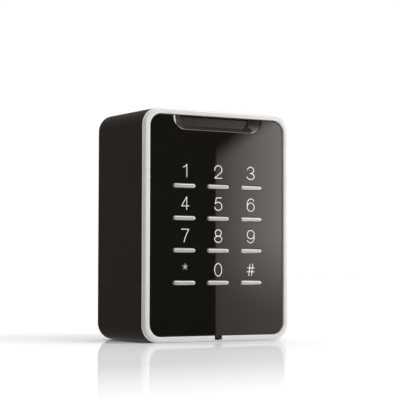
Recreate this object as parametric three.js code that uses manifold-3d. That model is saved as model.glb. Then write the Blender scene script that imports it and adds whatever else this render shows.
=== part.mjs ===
// Wall-mounted card reader with a twelve-key pad, as an assembly of separate pieces.
// Millimetres, +Z up, +X to the right, the keys face -Y. The origin is under the middle of the case.

import * as THREE from 'three';
import { mergeVertices } from 'three/addons/utils/BufferGeometryUtils.js';
import Module from 'manifold-3d';

const wasm = await Module();
wasm.setup();

// ---------------------------------------------------------------- overall sizes
const WIDTH = 73.7;
const DEPTH = 43.5;
const HEIGHT = 100;
const CORNER_RADIUS = 7.5;

// ---------------------------------------------------------------- clearances
const SEAT_GAP = 0.3; // between two faces that rest on each other
const SIDE_GAP = 0.2; // beside a piece that fits into another
const SLIDE_GAP = 0.15; // around a piece that slides
const THREAD_GAP = 0.15; // around a screw's shank
const SINK = 0.2; // how far a boss or rib runs into the wall that it grows from
const PAST = 1; // how far a cut runs past the face that it opens

// ---------------------------------------------------------------- front frame
const FRAME_DEPTH = 2.4;
const FRAME_WALL = 1.2;
const FRAME_SIDE_BAND = 2.8;
const FRAME_END_BAND = 2.45;
const FRAME_LIP = 0.9;
const FRAME_OPENING_RADIUS = 5.45;
const FRAME_EDGE_RADIUS = 1;
const FRAME_INNER_CHAMFER = 0.35;
const NOTCH_WIDTH = 3.7;
const NOTCH_FLOOR = 0.65;

// ---------------------------------------------------------------- rear housing
const HOUSING_WALL = 2;
const BACK_WALL = 2.5;
const BACK_EDGE_RADIUS = 1.2;
const RIM_LIP = 0.9;
const WALL_SCREW_PITCH = 60;
const WALL_SLOT_LENGTH = 9;
const WALL_SLOT_HEIGHT = 4.5;
const WALL_PAD_MARGIN = 2.5;
const WALL_PAD_THICK = 1;
const TAMPER_POST_RADIUS = 2.5;

// ---------------------------------------------------------------- housing gasket
const GASKET_WIDTH = 0.8;
const GASKET_THICK = 0.9;

// ---------------------------------------------------------------- cable grommet
const GROMMET_BORE_RADIUS = 4;
const GROMMET_NECK_RADIUS = 7.8;
const GROMMET_FLANGE_RADIUS = 9.8;
const GROMMET_OUTER_THICK = 0.8;
const GROMMET_INNER_THICK = 1.2;
const GROMMET_RECESS = 1.2;

// ---------------------------------------------------------------- front panel
const PANEL_INSET = 0.75;
const PANEL_THICK = 2.5;
const PANEL_EDGE_CHAMFER = 0.2;
const SKIRT_WALL = 1.5;
const SKIRT_REACH = 4.75;
const POST_RADIUS = 2.5;
const POST_EDGE = 2.75; // from the board's edge to a post's centre
const POST_DROP = 10.5; // from the board's top edge to the upper posts
const SNAP_LENGTH = 8;
const SNAP_DEPTH = 1.2;
const SNAP_HEIGHT = 0.7;
const SNAP_FROM_MIDDLE = 26;

// ---------------------------------------------------------------- scoop and status window
const SCOOP_WIDTH = 43.9;
const SCOOP_HEIGHT = 6.1;
const SCOOP_RADIUS = 5.5;
const SCOOP_DEPTH = 2.95;
const SCOOP_UNDER_FRAME = 0.25;
const FLOOR_WIDTH = 34.6;
const FLOOR_HEIGHT = 4.3;
const FLOOR_RADIUS = 3;
const MOST_ROUND = 0.8; // a floor corner takes no more than this share of the floor's height
const FLOOR_LAND = 0.3;
const SCOOP_WALL = 1.5;
const SCOOP_TOP_WALL = 0.4;
const SCOOP_BOSS_RADIUS = 1;
const WINDOW_LEDGE = 1.2;
const WINDOW_THICK = 1.2;
const WINDOW_RADIUS = 0.8;
const LIGHT_GUIDE_WIDTH = 28;
const LIGHT_GUIDE_HEIGHT = 2.2;
const LIGHT_GUIDE_RADIUS = 0.6;
const LAMP_WIDTH = 2;
const LAMP_HEIGHT = 1.2;
const LAMP_THICK = 0.9;
const LAMP_STEP = 0.3;
const LAMP_PITCH = 10;

// ---------------------------------------------------------------- keys
const KEY_LENGTH = 11;
const KEY_WIDTH = 1.8;
const KEY_RISE = 0.7;
const KEY_CROWN = 0.5;
const KEY_FLANGE_MARGIN = 1.1;
const KEY_FLANGE_THICK = 1;
const KEY_PITCH_X = 17.05;
const KEY_PITCH_Z = 13.9;
const KEY_GRID_DROP = 3.8; // from the middle of the case down to the middle of the grid

// ---------------------------------------------------------------- keypad mat and boards
const DOME_HEIGHT = 2.4;
const DOME_WALL = 0.7;
const DOME_FLARE = 0.5;
const MAT_THICK = 1;
const MAT_MARGIN = 2;
const MAT_RADIUS = 3;
const BOARD_THICK = 1.6;
const COIL_WIDTH = 1.5;
const COIL_THICK = 0.6;
const COIL_RADIUS = 3;
const CARRIER_THICK = 1.5;
const CARRIER_RADIUS = 2;
const CARRIER_SIDE_RAIL = 11;
const CARRIER_END_RAIL = 15;
const STANDOFF_HEIGHT = 8;
const STANDOFF_RADIUS = 2.6;
const STANDOFF_EDGE_X = 8; // from the carrier's side edge to a standoff's centre
const STANDOFF_EDGE_Z = 10; // from the carrier's lower edge to the lower standoffs
const STANDOFF_DROP = 5; // from the upper posts down to the upper standoffs
const CONTROL_RADIUS = 1.5;
const CONTROL_MARGIN = 3.5; // from a standoff's centre to the control board's edge

// ---------------------------------------------------------------- screws
const SCREW_SHANK = 1.25;
const SCREW_HEAD_RADIUS = 2.2;
const SCREW_HEAD_THICK = 1.5;
const SCREW_HEAD_TAPER = 0.4;
const SCREW_BITE = 4; // length of thread in the plastic
const PANEL_SCREW_BITE = 3.5;
const CROSS_WIDTH = 0.7;
const CROSS_LENGTH = 2.4;
const CROSS_DEPTH = 0.8;

// ---------------------------------------------------------------- parts on the boards
const TERMINAL_COUNT = 6;
const TERMINAL_PITCH = 5;
const TERMINAL_END = 0.5;
const TERMINAL_DEEP = 10;
const TERMINAL_TALL = 8.5;
const TERMINAL_FLOOR = 1.5;
const TERMINAL_MOUTH = 3.2;
const TERMINAL_MOUTH_REACH = 5;
const TERMINAL_WELL = 3.4;
const TERMINAL_SCREW_RADIUS = 1.6;
const TERMINAL_SCREW_THICK = 1.6;
const TERMINAL_SCREW_SLOT = 0.5;
const RELAY = { width: 19, height: 15.5, deep: 15.5, radius: 0.8 };
const BUZZER = { radius: 6, deep: 8.5, mouth: 1, mouthDeep: 3 };
const CAPACITOR = { radius: 4, deep: 11, neck: 0.4, neckAt: 1.5, neckLong: 0.8 };
const CONTROLLER = {
  side: 10, deep: 1.4, lift: 0.1, leads: 6, leadPitch: 1.27, lead: 0.4, thick: 0.4, reach: 1,
};
const READER_CHIP = {
  side: 6, deep: 0.9, lift: 0.1, leads: 5, leadPitch: 0.9, lead: 0.3, thick: 0.3, reach: 0.6,
};
const BOARD_EDGE_ROOM = 1; // between a board's edge and the parts beside it
const CAPACITOR_PITCH = 10;
const CONTROLLER_DROP = 6; // below the control board's middle
const READER_CHIP_RISE = 10; // above the case's middle
const HEADER_DROP = 16; // below the case's middle
const HEADER_PINS = 8;
const HEADER_PITCH = 2.54;
const HEADER_WIDTH = 3.2;
const HEADER_BASE = 2.5;
const SOCKET_TALL = 5.5;
const PIN_SIDE = 0.64;
const PIN_BITE = 4;
const SWITCH_SIDE = 6;
const SWITCH_TALL = 4;
const PLUNGER_RADIUS = 1.7;
const PLUNGER_LENGTH = 8.4;
const PLUNGER_CHAMFER = 0.5;
const PLUNGER_BITE = 1.5;
const PLUNGER_TRAVEL = 0.6;

// ---------------------------------------------------------------- roundness
const LEAST_RADIUS = 0.3;
const WELD = 1e-4; // points nearer than this are one point
const CORNER_STEPS = 4;
const EDGE_STEPS = 3;
const FRAME_EDGE_STEPS = 4;
const PILL_STEPS = 3;
const ROUND_SIDES = 24;
const SMALL_SIDES = 16;

// ---------------------------------------------------------------- where the layers lie
// Inside the reader's group, y is the depth behind the frame's front face.
const panelBack = PANEL_INSET + PANEL_THICK;
const flangeFront = FRAME_LIP + SEAT_GAP;
const seam = FRAME_DEPTH + SEAT_GAP;
const gasketBack = seam + GASKET_THICK;
const scoopFloor = PANEL_INSET + SCOOP_DEPTH;
const windowFront = scoopFloor + FLOOR_LAND + SEAT_GAP;
const windowBack = windowFront + WINDOW_THICK;
const bossBack = windowBack + SEAT_GAP;
const keyFlangeFront = panelBack + SEAT_GAP;
const keyFlangeBack = keyFlangeFront + KEY_FLANGE_THICK;
const domeTop = keyFlangeBack + SEAT_GAP;
const matFront = domeTop + DOME_HEIGHT;
const matBack = matFront + MAT_THICK;
const boardFront = matBack + SEAT_GAP;
const boardBack = boardFront + BOARD_THICK;
const carrierFront = boardBack + SEAT_GAP;
const carrierBack = carrierFront + CARRIER_THICK;
const controlFront = carrierBack + STANDOFF_HEIGHT + SEAT_GAP;
const controlBack = controlFront + BOARD_THICK;
const partsFront = controlBack + SEAT_GAP;
const lampBack = boardFront - SEAT_GAP;
const lampFront = lampBack - LAMP_THICK;
const backWallFront = DEPTH - BACK_WALL;

// ---------------------------------------------------------------- widths and heights that follow
const midZ = HEIGHT / 2;
const opening = {
  width: WIDTH - 2 * FRAME_SIDE_BAND,
  height: HEIGHT - 2 * FRAME_END_BAND,
  radius: FRAME_OPENING_RADIUS,
};
const openingTop = HEIGHT - FRAME_END_BAND;
const whole = { width: WIDTH, height: HEIGHT, radius: CORNER_RADIUS };
const pocket = inset(whole, FRAME_WALL);
const cavity = inset(whole, HOUSING_WALL);
const rabbet = inset(whole, RIM_LIP);
const skirt = inset(cavity, SEAT_GAP);
const board = inset(skirt, SKIRT_WALL + SEAT_GAP + SIDE_GAP);
const boardTop = midZ + board.height / 2;
const boardBottom = midZ - board.height / 2;
const postX = board.width / 2 - POST_EDGE;
const postZ = [boardBottom + POST_EDGE, boardTop - POST_DROP];
const standoffX = board.width / 2 - STANDOFF_EDGE_X;
const standoffZ = [boardBottom + STANDOFF_EDGE_Z, postZ[1] - STANDOFF_DROP];
const gridZ = midZ - KEY_GRID_DROP;
const scoop = {
  half: SCOOP_WIDTH / 2,
  bottom: openingTop - SCOOP_HEIGHT,
  top: openingTop + SCOOP_UNDER_FRAME,
};
const floorTop = midZ + skirt.height / 2 - SCOOP_TOP_WALL;
const floor = { half: FLOOR_WIDTH / 2, bottom: openingTop - FLOOR_HEIGHT, top: floorTop };
const floorRadius = Math.min(FLOOR_RADIUS, MOST_ROUND * (floor.top - floor.bottom));
const windowZ = (floor.bottom - WINDOW_LEDGE + floor.top) / 2;
const windowPocket = {
  width: FLOOR_WIDTH + 2 * WINDOW_LEDGE,
  height: floor.top - floor.bottom + WINDOW_LEDGE,
  radius: WINDOW_RADIUS,
};
const control = {
  width: 2 * (standoffX + CONTROL_MARGIN),
  height: standoffZ[1] - standoffZ[0] + 2 * CONTROL_MARGIN,
  radius: CONTROL_RADIUS,
};
const lampZ = boardTop - LIGHT_GUIDE_HEIGHT / 2;
const controlZ = (standoffZ[0] + standoffZ[1]) / 2;
const controlLeft = -control.width / 2;
const controlBottom = controlZ - control.height / 2;
const controlTop = controlZ + control.height / 2;

// ---------------------------------------------------------------- finishes
const FINISH = {
  housing: { color: 0x262423, roughness: 0.7, metalness: 0 },
  chrome: { color: 0xc9c9cb, roughness: 0.32, metalness: 0.9 },
  panel: { color: 0x0c0b0b, roughness: 0.08, metalness: 0 },
  window: { color: 0x2e2a28, roughness: 0.15, metalness: 0 },
  silicone: { color: 0x8d9296, roughness: 0.8, metalness: 0 },
  board: { color: 0x1d5a34, roughness: 0.5, metalness: 0 },
  copper: { color: 0xb5673a, roughness: 0.35, metalness: 0.9 },
  diffuser: { color: 0xe8eaec, roughness: 0.5, metalness: 0 },
  lamp: { color: 0xf2e6b0, roughness: 0.3, metalness: 0 },
  carrier: { color: 0x343638, roughness: 0.6, metalness: 0 },
  steel: { color: 0xa9abad, roughness: 0.35, metalness: 0.9 },
  terminal: { color: 0x2f7d4a, roughness: 0.5, metalness: 0 },
  relay: { color: 0x2556a0, roughness: 0.45, metalness: 0 },
  dark: { color: 0x17181a, roughness: 0.5, metalness: 0 },
  plunger: { color: 0xd8d4c8, roughness: 0.5, metalness: 0 },
  rubber: { color: 0x1b1b1c, roughness: 0.85, metalness: 0 },
};

// ---------------------------------------------------------------- outlines, drawn in X and Z
// A rounded rectangle made smaller by the same amount on every side.
function inset(rect, amount) {
  return {
    width: rect.width - 2 * amount,
    height: rect.height - 2 * amount,
    radius: Math.max(rect.radius - amount, LEAST_RADIUS),
  };
}

function roundedRect(rect, x = 0, z = 0) {
  const right = x + rect.width / 2 - rect.radius;
  const left = x - rect.width / 2 + rect.radius;
  const top = z + rect.height / 2 - rect.radius;
  const bottom = z - rect.height / 2 + rect.radius;
  const quarter = Math.PI / 2;
  const outline = new THREE.Shape();
  outline.absarc(right, bottom, rect.radius, -quarter, 0);
  outline.absarc(right, top, rect.radius, 0, quarter);
  outline.absarc(left, top, rect.radius, quarter, 2 * quarter);
  outline.absarc(left, bottom, rect.radius, 2 * quarter, 3 * quarter);
  return outline;
}

function pill(length, width, x = 0, z = 0) {
  const reach = (length - width) / 2;
  const outline = new THREE.Shape();
  outline.absarc(x + reach, z, width / 2, -Math.PI / 2, Math.PI / 2);
  outline.absarc(x - reach, z, width / 2, Math.PI / 2, (3 * Math.PI) / 2);
  return outline;
}

// The scoop's outline: square at the top, rounded at its two lower corners.
function scoopOutline(edge, radius) {
  const outline = new THREE.Shape();
  outline.moveTo(edge.half, edge.top);
  outline.lineTo(-edge.half, edge.top);
  outline.absarc(-edge.half + radius, edge.bottom + radius, radius, Math.PI, 1.5 * Math.PI);
  outline.absarc(edge.half - radius, edge.bottom + radius, radius, 1.5 * Math.PI, 2 * Math.PI);
  return outline;
}

// ---------------------------------------------------------------- solids
function solidOf(geometry) {
  const bare = geometry.clone();
  bare.deleteAttribute('normal');
  bare.deleteAttribute('uv');
  const merged = mergeVertices(bare, WELD);
  return new wasm.Manifold(new wasm.Mesh({
    numProp: 3,
    vertProperties: Float32Array.from(merged.attributes.position.array),
    triVerts: Uint32Array.from(merged.index.array),
  }));
}

function geometryOf(solid) {
  const mesh = solid.getMesh();
  const geometry = new THREE.BufferGeometry();
  geometry.setAttribute('position', new THREE.BufferAttribute(mesh.vertProperties, 3));
  geometry.setIndex(new THREE.BufferAttribute(mesh.triVerts, 1));
  geometry.computeVertexNormals();
  return geometry;
}

// An outline in X and Z carried straight back from one depth to another.
function slab(outline, front, back, steps = CORNER_STEPS) {
  const settings = { depth: back - front, bevelEnabled: false, curveSegments: steps };
  const geometry = new THREE.ExtrudeGeometry(outline, settings);
  geometry.rotateX(Math.PI / 2);
  geometry.translate(0, back, 0);
  return solidOf(geometry);
}

// A skin over outlines with the same number of points, listed from front to back as [outline, depth].
function loft(sections, steps = CORNER_STEPS) {
  const rings = sections.map(([outline]) => outline.getPoints(steps));
  rings.forEach((ring) => {
    if (ring[0].distanceTo(ring[ring.length - 1]) < WELD) ring.pop();
  });
  const count = rings[0].length;
  const corners = [];
  const triangles = [];
  rings.forEach((ring, k) => ring.forEach((point) => corners.push(point.x, sections[k][1], point.y)));
  for (let k = 0; k + 1 < rings.length; k += 1) {
    for (let i = 0; i < count; i += 1) {
      const here = k * count + i;
      const next = k * count + ((i + 1) % count);
      triangles.push(here, here + count, next + count);
      triangles.push(here, next + count, next);
    }
  }
  const lastRing = (rings.length - 1) * count;
  THREE.ShapeUtils.triangulateShape(rings[0], []).forEach(([a, b, c]) => triangles.push(a, b, c));
  THREE.ShapeUtils.triangulateShape(rings[rings.length - 1], []).forEach(([a, b, c]) => {
    triangles.push(lastRing + a, lastRing + c, lastRing + b);
  });
  const geometry = new THREE.BufferGeometry();
  geometry.setAttribute('position', new THREE.Float32BufferAttribute(corners, 3));
  geometry.setIndex(triangles);
  return solidOf(geometry);
}

// Sections of a rounded edge: [how far the outline draws in, depth from the edge's face].
function roundedEdge(radius, steps) {
  return Array.from({ length: steps + 1 }, (_, k) => {
    const angle = (k / steps) * (Math.PI / 2);
    return [radius * (1 - Math.sin(angle)), radius * (1 - Math.cos(angle))];
  });
}

function block(x, z, width, height, front, back) {
  const geometry = new THREE.BoxGeometry(width, back - front, height);
  geometry.translate(x, (front + back) / 2, z);
  return solidOf(geometry);
}

function round(x, z, radius, front, back, sides = ROUND_SIDES, backRadius = radius) {
  const geometry = new THREE.CylinderGeometry(backRadius, radius, back - front, sides);
  geometry.translate(x, (front + back) / 2, z);
  return solidOf(geometry);
}

function join(solids) {
  return solids.reduce((whole, piece) => whole.add(piece));
}

function cut(solid, tools) {
  return tools.reduce((whole, tool) => whole.subtract(tool), solid);
}

// The four places that mirror one another left and right at two heights.
function fourPlaces(x, heights) {
  return heights.flatMap((z) => [[-x, z], [x, z]]);
}

function keyPlaces() {
  const labels = [['star', '0', 'hash'], ['7', '8', '9'], ['4', '5', '6'], ['1', '2', '3']];
  return labels.flatMap((row, r) => row.map((label, c) => ({
    name: `key_${label}`,
    x: (c - 1) * KEY_PITCH_X,
    z: gridZ + (r - 1.5) * KEY_PITCH_Z,
  })));
}

// ---------------------------------------------------------------- case pieces
function rearHousing() {
  const edge = roundedEdge(BACK_EDGE_RADIUS, EDGE_STEPS).reverse();
  const sections = edge.map(([draw, rise]) => [roundedRect(inset(whole, draw), 0, midZ), DEPTH - rise]);
  const shell = loft([[roundedRect(whole, 0, midZ), seam], ...sections]);
  const hollow = slab(roundedRect(cavity, 0, midZ), seam - PAST, backWallFront);
  const rimSeat = slab(roundedRect(rabbet, 0, midZ), seam - PAST, gasketBack + SEAT_GAP);
  const slots = [-1, 1].map((side) => midZ + (side * WALL_SCREW_PITCH) / 2);
  const padLength = WALL_SLOT_LENGTH + 2 * WALL_PAD_MARGIN;
  const padHeight = WALL_SLOT_HEIGHT + 2 * WALL_PAD_MARGIN;
  const pads = slots.map((z) => slab(
    pill(padLength, padHeight, 0, z), backWallFront - WALL_PAD_THICK, backWallFront + SINK, PILL_STEPS,
  ));
  const slotCuts = slots.map((z) => slab(
    pill(WALL_SLOT_LENGTH, WALL_SLOT_HEIGHT, 0, z),
    backWallFront - WALL_PAD_THICK - PAST, DEPTH + PAST, PILL_STEPS,
  ));
  const tamper = tamperPlace();
  const postFront = tamper.tip + SEAT_GAP;
  const tamperPost = round(tamper.x, tamper.z, TAMPER_POST_RADIUS, postFront, backWallFront + SINK);
  const cableHole = round(0, midZ, GROMMET_NECK_RADIUS + SIDE_GAP, backWallFront - PAST, DEPTH + PAST);
  const recessRadius = GROMMET_FLANGE_RADIUS + SIDE_GAP;
  const cableRecess = round(0, midZ, recessRadius, DEPTH - GROMMET_RECESS, DEPTH + PAST);
  const body = cut(shell, [hollow, rimSeat, ...snapSolids(cavity.width / 2, SNAP_HEIGHT, SEAT_GAP)]);
  return cut(join([body, ...pads, tamperPost]), [...slotCuts, cableHole, cableRecess]);
}

// Four ribs along the sides, or with a clearance, the four grooves that they snap into.
function snapSolids(half, height, clearance) {
  const snapBack = panelBack + SKIRT_REACH - SNAP_DEPTH / 2 + clearance;
  const heights = [midZ - SNAP_FROM_MIDDLE, midZ + SNAP_FROM_MIDDLE];
  return fourPlaces(half + height / 2 - SINK / 2, heights).map(([x, z]) => block(
    x, z, height + SINK, SNAP_LENGTH + 2 * clearance, snapBack - SNAP_DEPTH - 2 * clearance, snapBack,
  ));
}

function frontFrame() {
  const sections = roundedEdge(FRAME_EDGE_RADIUS, FRAME_EDGE_STEPS)
    .map(([draw, rise]) => [roundedRect(inset(whole, draw), 0, midZ), rise]);
  const ring = loft([...sections, [roundedRect(whole, 0, midZ), FRAME_DEPTH]]);
  const window = slab(roundedRect(opening, 0, midZ), -PAST, FRAME_DEPTH + PAST);
  const chamfer = loft([
    [roundedRect(inset(opening, -2 * FRAME_INNER_CHAMFER), 0, midZ), -FRAME_INNER_CHAMFER],
    [roundedRect(opening, 0, midZ), FRAME_INNER_CHAMFER],
  ]);
  const seat = slab(roundedRect(pocket, 0, midZ), FRAME_LIP, FRAME_DEPTH + PAST);
  const notchTop = FRAME_END_BAND + PAST;
  const notchZ = (NOTCH_FLOOR + notchTop) / 2;
  const notch = block(0, notchZ, NOTCH_WIDTH, notchTop - NOTCH_FLOOR, -PAST, FRAME_DEPTH + PAST);
  return cut(ring, [window, chamfer, seat, notch]);
}

function frontPanel() {
  const field = inset(opening, SIDE_GAP);
  const flange = inset(pocket, SIDE_GAP);
  const solids = [
    loft([
      [roundedRect(inset(field, PANEL_EDGE_CHAMFER), 0, midZ), PANEL_INSET],
      [roundedRect(field, 0, midZ), PANEL_INSET + PANEL_EDGE_CHAMFER],
      [roundedRect(field, 0, midZ), flangeFront + SINK],
    ]),
    slab(roundedRect(flange, 0, midZ), flangeFront, FRAME_DEPTH),
    slab(roundedRect(skirt, 0, midZ), FRAME_DEPTH - SINK, panelBack),
    skirtRing(),
    slab(roundedRect(scoopBoss(), 0, scoopBossZ()), panelBack - SINK, bossBack),
    ...fourPlaces(postX, postZ)
      .map(([x, z]) => round(x, z, POST_RADIUS, panelBack - SINK, boardFront - SEAT_GAP)),
    ...snapSolids(skirt.width / 2, SNAP_HEIGHT, 0),
  ];
  const tools = [
    loft([[scoopOutline(scoop, SCOOP_RADIUS), PANEL_INSET - SINK], ...scoopSlope()]),
    slab(scoopOutline(floor, floorRadius), scoopFloor - SINK, scoopFloor + FLOOR_LAND + SINK),
    slab(roundedRect(windowPocket, 0, windowZ), scoopFloor + FLOOR_LAND, bossBack + PAST),
    ...keyPlaces().map(({ x, z }) => slab(
      pill(KEY_LENGTH + 2 * SLIDE_GAP, KEY_WIDTH + 2 * SLIDE_GAP, x, z),
      PANEL_INSET - PAST, panelBack + PAST, PILL_STEPS,
    )),
    ...fourPlaces(postX, postZ).map(([x, z]) => round(
      x, z, SCREW_SHANK + THREAD_GAP,
      boardFront - PANEL_SCREW_BITE - 2 * SEAT_GAP, boardFront, SMALL_SIDES,
    )),
  ];
  return cut(join(solids), tools);
}

function skirtRing() {
  const back = panelBack + SKIRT_REACH;
  const outer = slab(roundedRect(skirt, 0, midZ), panelBack - SINK, back);
  const inner = slab(roundedRect(inset(skirt, SKIRT_WALL), 0, midZ), panelBack, back + PAST);
  return cut(outer, [inner]);
}

// The block behind the panel that the scoop and the window's pocket are sunk into.
function scoopBoss() {
  const bottom = scoop.bottom - SCOOP_WALL;
  const top = midZ + skirt.height / 2;
  return { width: SCOOP_WIDTH + 2 * SCOOP_WALL, height: top - bottom, radius: SCOOP_BOSS_RADIUS };
}

function scoopBossZ() {
  return midZ + skirt.height / 2 - scoopBoss().height / 2;
}

function scoopSlope() {
  return [
    [scoopOutline(scoop, SCOOP_RADIUS), PANEL_INSET],
    [scoopOutline(floor, floorRadius), scoopFloor],
  ];
}

function statusWindow() {
  return slab(roundedRect(inset(windowPocket, SIDE_GAP), 0, 0), 0, WINDOW_THICK);
}

function lightGuide() {
  const bar = { width: LIGHT_GUIDE_WIDTH, height: LIGHT_GUIDE_HEIGHT, radius: LIGHT_GUIDE_RADIUS };
  return slab(roundedRect(bar, 0, 0), windowBack + SEAT_GAP, lampFront - SEAT_GAP);
}

function statusLamp() {
  const base = block(0, 0, LAMP_WIDTH, LAMP_HEIGHT, LAMP_THICK / 2, LAMP_THICK);
  const lens = block(0, 0, LAMP_WIDTH - 2 * LAMP_STEP, LAMP_HEIGHT, 0, LAMP_THICK / 2 + SINK);
  return base.add(lens);
}

function housingGasket() {
  const outer = inset(rabbet, SIDE_GAP);
  const ring = slab(roundedRect(outer, 0, midZ), seam, gasketBack);
  const inner = inset(outer, GASKET_WIDTH);
  return cut(ring, [slab(roundedRect(inner, 0, midZ), seam - PAST, gasketBack + PAST)]);
}

function cableGrommet() {
  const outerFace = DEPTH - GROMMET_RECESS + SEAT_GAP;
  const innerFace = backWallFront - SEAT_GAP;
  const body = join([
    round(0, 0, GROMMET_FLANGE_RADIUS, outerFace, outerFace + GROMMET_OUTER_THICK),
    round(0, 0, GROMMET_NECK_RADIUS, innerFace - SINK, outerFace + SINK),
    round(0, 0, GROMMET_FLANGE_RADIUS, innerFace - GROMMET_INNER_THICK, innerFace),
  ]);
  const boreFront = innerFace - GROMMET_INNER_THICK - PAST;
  return cut(body, [round(0, 0, GROMMET_BORE_RADIUS, boreFront, DEPTH + PAST)]);
}

// ---------------------------------------------------------------- keys and mat
// A key, with the panel's surface at y = 0: a crowned bar and the flange that keeps it in its slot.
function keySolid() {
  const crown = roundedEdge(KEY_CROWN, EDGE_STEPS)
    .map(([draw, rise]) => [pill(KEY_LENGTH - 2 * draw, KEY_WIDTH - 2 * draw), rise - KEY_RISE]);
  const root = keyFlangeFront - PANEL_INSET + SINK;
  const bar = loft([...crown, [pill(KEY_LENGTH, KEY_WIDTH), root]], PILL_STEPS);
  const flange = slab(
    pill(KEY_LENGTH + 2 * KEY_FLANGE_MARGIN, KEY_WIDTH + 2 * KEY_FLANGE_MARGIN),
    keyFlangeFront - PANEL_INSET, keyFlangeBack - PANEL_INSET, PILL_STEPS,
  );
  return bar.add(flange);
}

function keypadMat() {
  const sheet = {
    width: 2 * KEY_PITCH_X + KEY_LENGTH + 2 * (KEY_FLANGE_MARGIN + MAT_MARGIN),
    height: 3 * KEY_PITCH_Z + KEY_WIDTH + 2 * (KEY_FLANGE_MARGIN + MAT_MARGIN),
    radius: MAT_RADIUS,
  };
  const outlineAt = (x, z, grow) => pill(KEY_LENGTH + 2 * grow, KEY_WIDTH + 2 * grow, x, z);
  const places = keyPlaces();
  const domes = places.map(({ x, z }) => loft([
    [outlineAt(x, z, DOME_FLARE), domeTop],
    [outlineAt(x, z, 2 * DOME_FLARE), matFront + SINK],
  ], PILL_STEPS));
  const hollows = places.map(({ x, z }) => loft([
    [outlineAt(x, z, DOME_FLARE - DOME_WALL), domeTop + 2 * DOME_WALL],
    [outlineAt(x, z, 2 * DOME_FLARE - DOME_WALL), matBack + PAST],
  ], PILL_STEPS));
  const flat = slab(roundedRect(sheet, 0, gridZ), matFront, matBack);
  return cut(join([flat, ...domes]), hollows);
}

// ---------------------------------------------------------------- boards and carrier
function screwHoles(x, heights, front, back) {
  return fourPlaces(x, heights)
    .map(([px, pz]) => round(px, pz, SCREW_SHANK + SIDE_GAP, front - PAST, back + PAST, SMALL_SIDES));
}

function keypadBoard() {
  const plate = slab(roundedRect(board, 0, midZ), boardFront, boardBack);
  return cut(plate, screwHoles(postX, postZ, boardFront, boardBack));
}

function antennaCoil() {
  const clear = POST_RADIUS + SEAT_GAP;
  const coil = {
    width: board.width - 2 * SEAT_GAP,
    height: postZ[1] - postZ[0] - 2 * clear,
    radius: COIL_RADIUS,
  };
  const coilZ = (postZ[0] + postZ[1]) / 2;
  const back = boardFront - SEAT_GAP;
  const front = back - COIL_THICK;
  const ring = slab(roundedRect(coil, 0, coilZ), front, back);
  return cut(ring, [slab(roundedRect(inset(coil, COIL_WIDTH), 0, coilZ), front - PAST, back + PAST)]);
}

function boardCarrier() {
  const plate = slab(roundedRect(board, 0, midZ), carrierFront, carrierBack);
  const middle = {
    width: board.width - 2 * CARRIER_SIDE_RAIL,
    height: board.height - 2 * CARRIER_END_RAIL,
    radius: CARRIER_RADIUS,
  };
  const posts = fourPlaces(standoffX, standoffZ)
    .map(([x, z]) => round(x, z, STANDOFF_RADIUS, carrierBack - SINK, controlFront - SEAT_GAP));
  const pilots = fourPlaces(standoffX, standoffZ).map(([x, z]) => round(
    x, z, SCREW_SHANK + THREAD_GAP, controlFront - SCREW_BITE - 2 * SEAT_GAP, controlFront, SMALL_SIDES,
  ));
  return cut(join([plate, ...posts]), [
    slab(roundedRect(middle, 0, midZ), carrierFront - PAST, carrierBack + PAST),
    ...pilots,
    ...screwHoles(postX, postZ, carrierFront, carrierBack),
  ]);
}

function controlBoard() {
  const plate = slab(roundedRect(control, 0, controlZ), controlFront, controlBack);
  return cut(plate, screwHoles(standoffX, standoffZ, controlFront, controlBack));
}

// A pan-head screw whose head's front face is at y = 0, with its shank towards the front.
function screw(length) {
  const shank = round(0, 0, SCREW_SHANK, -length, SINK, SMALL_SIDES);
  const topRadius = SCREW_HEAD_RADIUS - SCREW_HEAD_TAPER;
  const head = round(0, 0, SCREW_HEAD_RADIUS, 0, SCREW_HEAD_THICK, SMALL_SIDES, topRadius);
  const crossFront = SCREW_HEAD_THICK - CROSS_DEPTH;
  return cut(shank.add(head), [
    block(0, 0, CROSS_LENGTH, CROSS_WIDTH, crossFront, SCREW_HEAD_THICK + PAST),
    block(0, 0, CROSS_WIDTH, CROSS_LENGTH, crossFront, SCREW_HEAD_THICK + PAST),
  ]);
}

// ---------------------------------------------------------------- parts on the boards
function terminalBlock() {
  const length = TERMINAL_COUNT * TERMINAL_PITCH + TERMINAL_END;
  const body = block(0, 0, length, TERMINAL_TALL, 0, TERMINAL_DEEP);
  const mouthZ = (TERMINAL_MOUTH_REACH - PAST - TERMINAL_TALL) / 2;
  const mouths = terminalPlaces().map((x) => block(
    x, mouthZ, TERMINAL_MOUTH, TERMINAL_MOUTH_REACH + PAST,
    TERMINAL_FLOOR, TERMINAL_FLOOR + TERMINAL_MOUTH,
  ));
  const wells = terminalPlaces().map((x) => round(
    x, 0, TERMINAL_SCREW_RADIUS + SIDE_GAP,
    TERMINAL_DEEP - TERMINAL_WELL, TERMINAL_DEEP + PAST, SMALL_SIDES,
  ));
  return cut(body, [...mouths, ...wells]);
}

function terminalPlaces() {
  const first = (-(TERMINAL_COUNT - 1) / 2) * TERMINAL_PITCH;
  return Array.from({ length: TERMINAL_COUNT }, (_, k) => first + k * TERMINAL_PITCH);
}

function terminalScrew() {
  const head = round(0, 0, TERMINAL_SCREW_RADIUS, 0, TERMINAL_SCREW_THICK, SMALL_SIDES);
  const slotLength = 2 * (TERMINAL_SCREW_RADIUS + PAST);
  const slotFloor = TERMINAL_SCREW_THICK / 2;
  const slotBack = TERMINAL_SCREW_THICK + PAST;
  return cut(head, [block(0, 0, slotLength, TERMINAL_SCREW_SLOT, slotFloor, slotBack)]);
}

function relayBody() {
  return slab(roundedRect(RELAY, 0, 0), 0, RELAY.deep);
}

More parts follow.
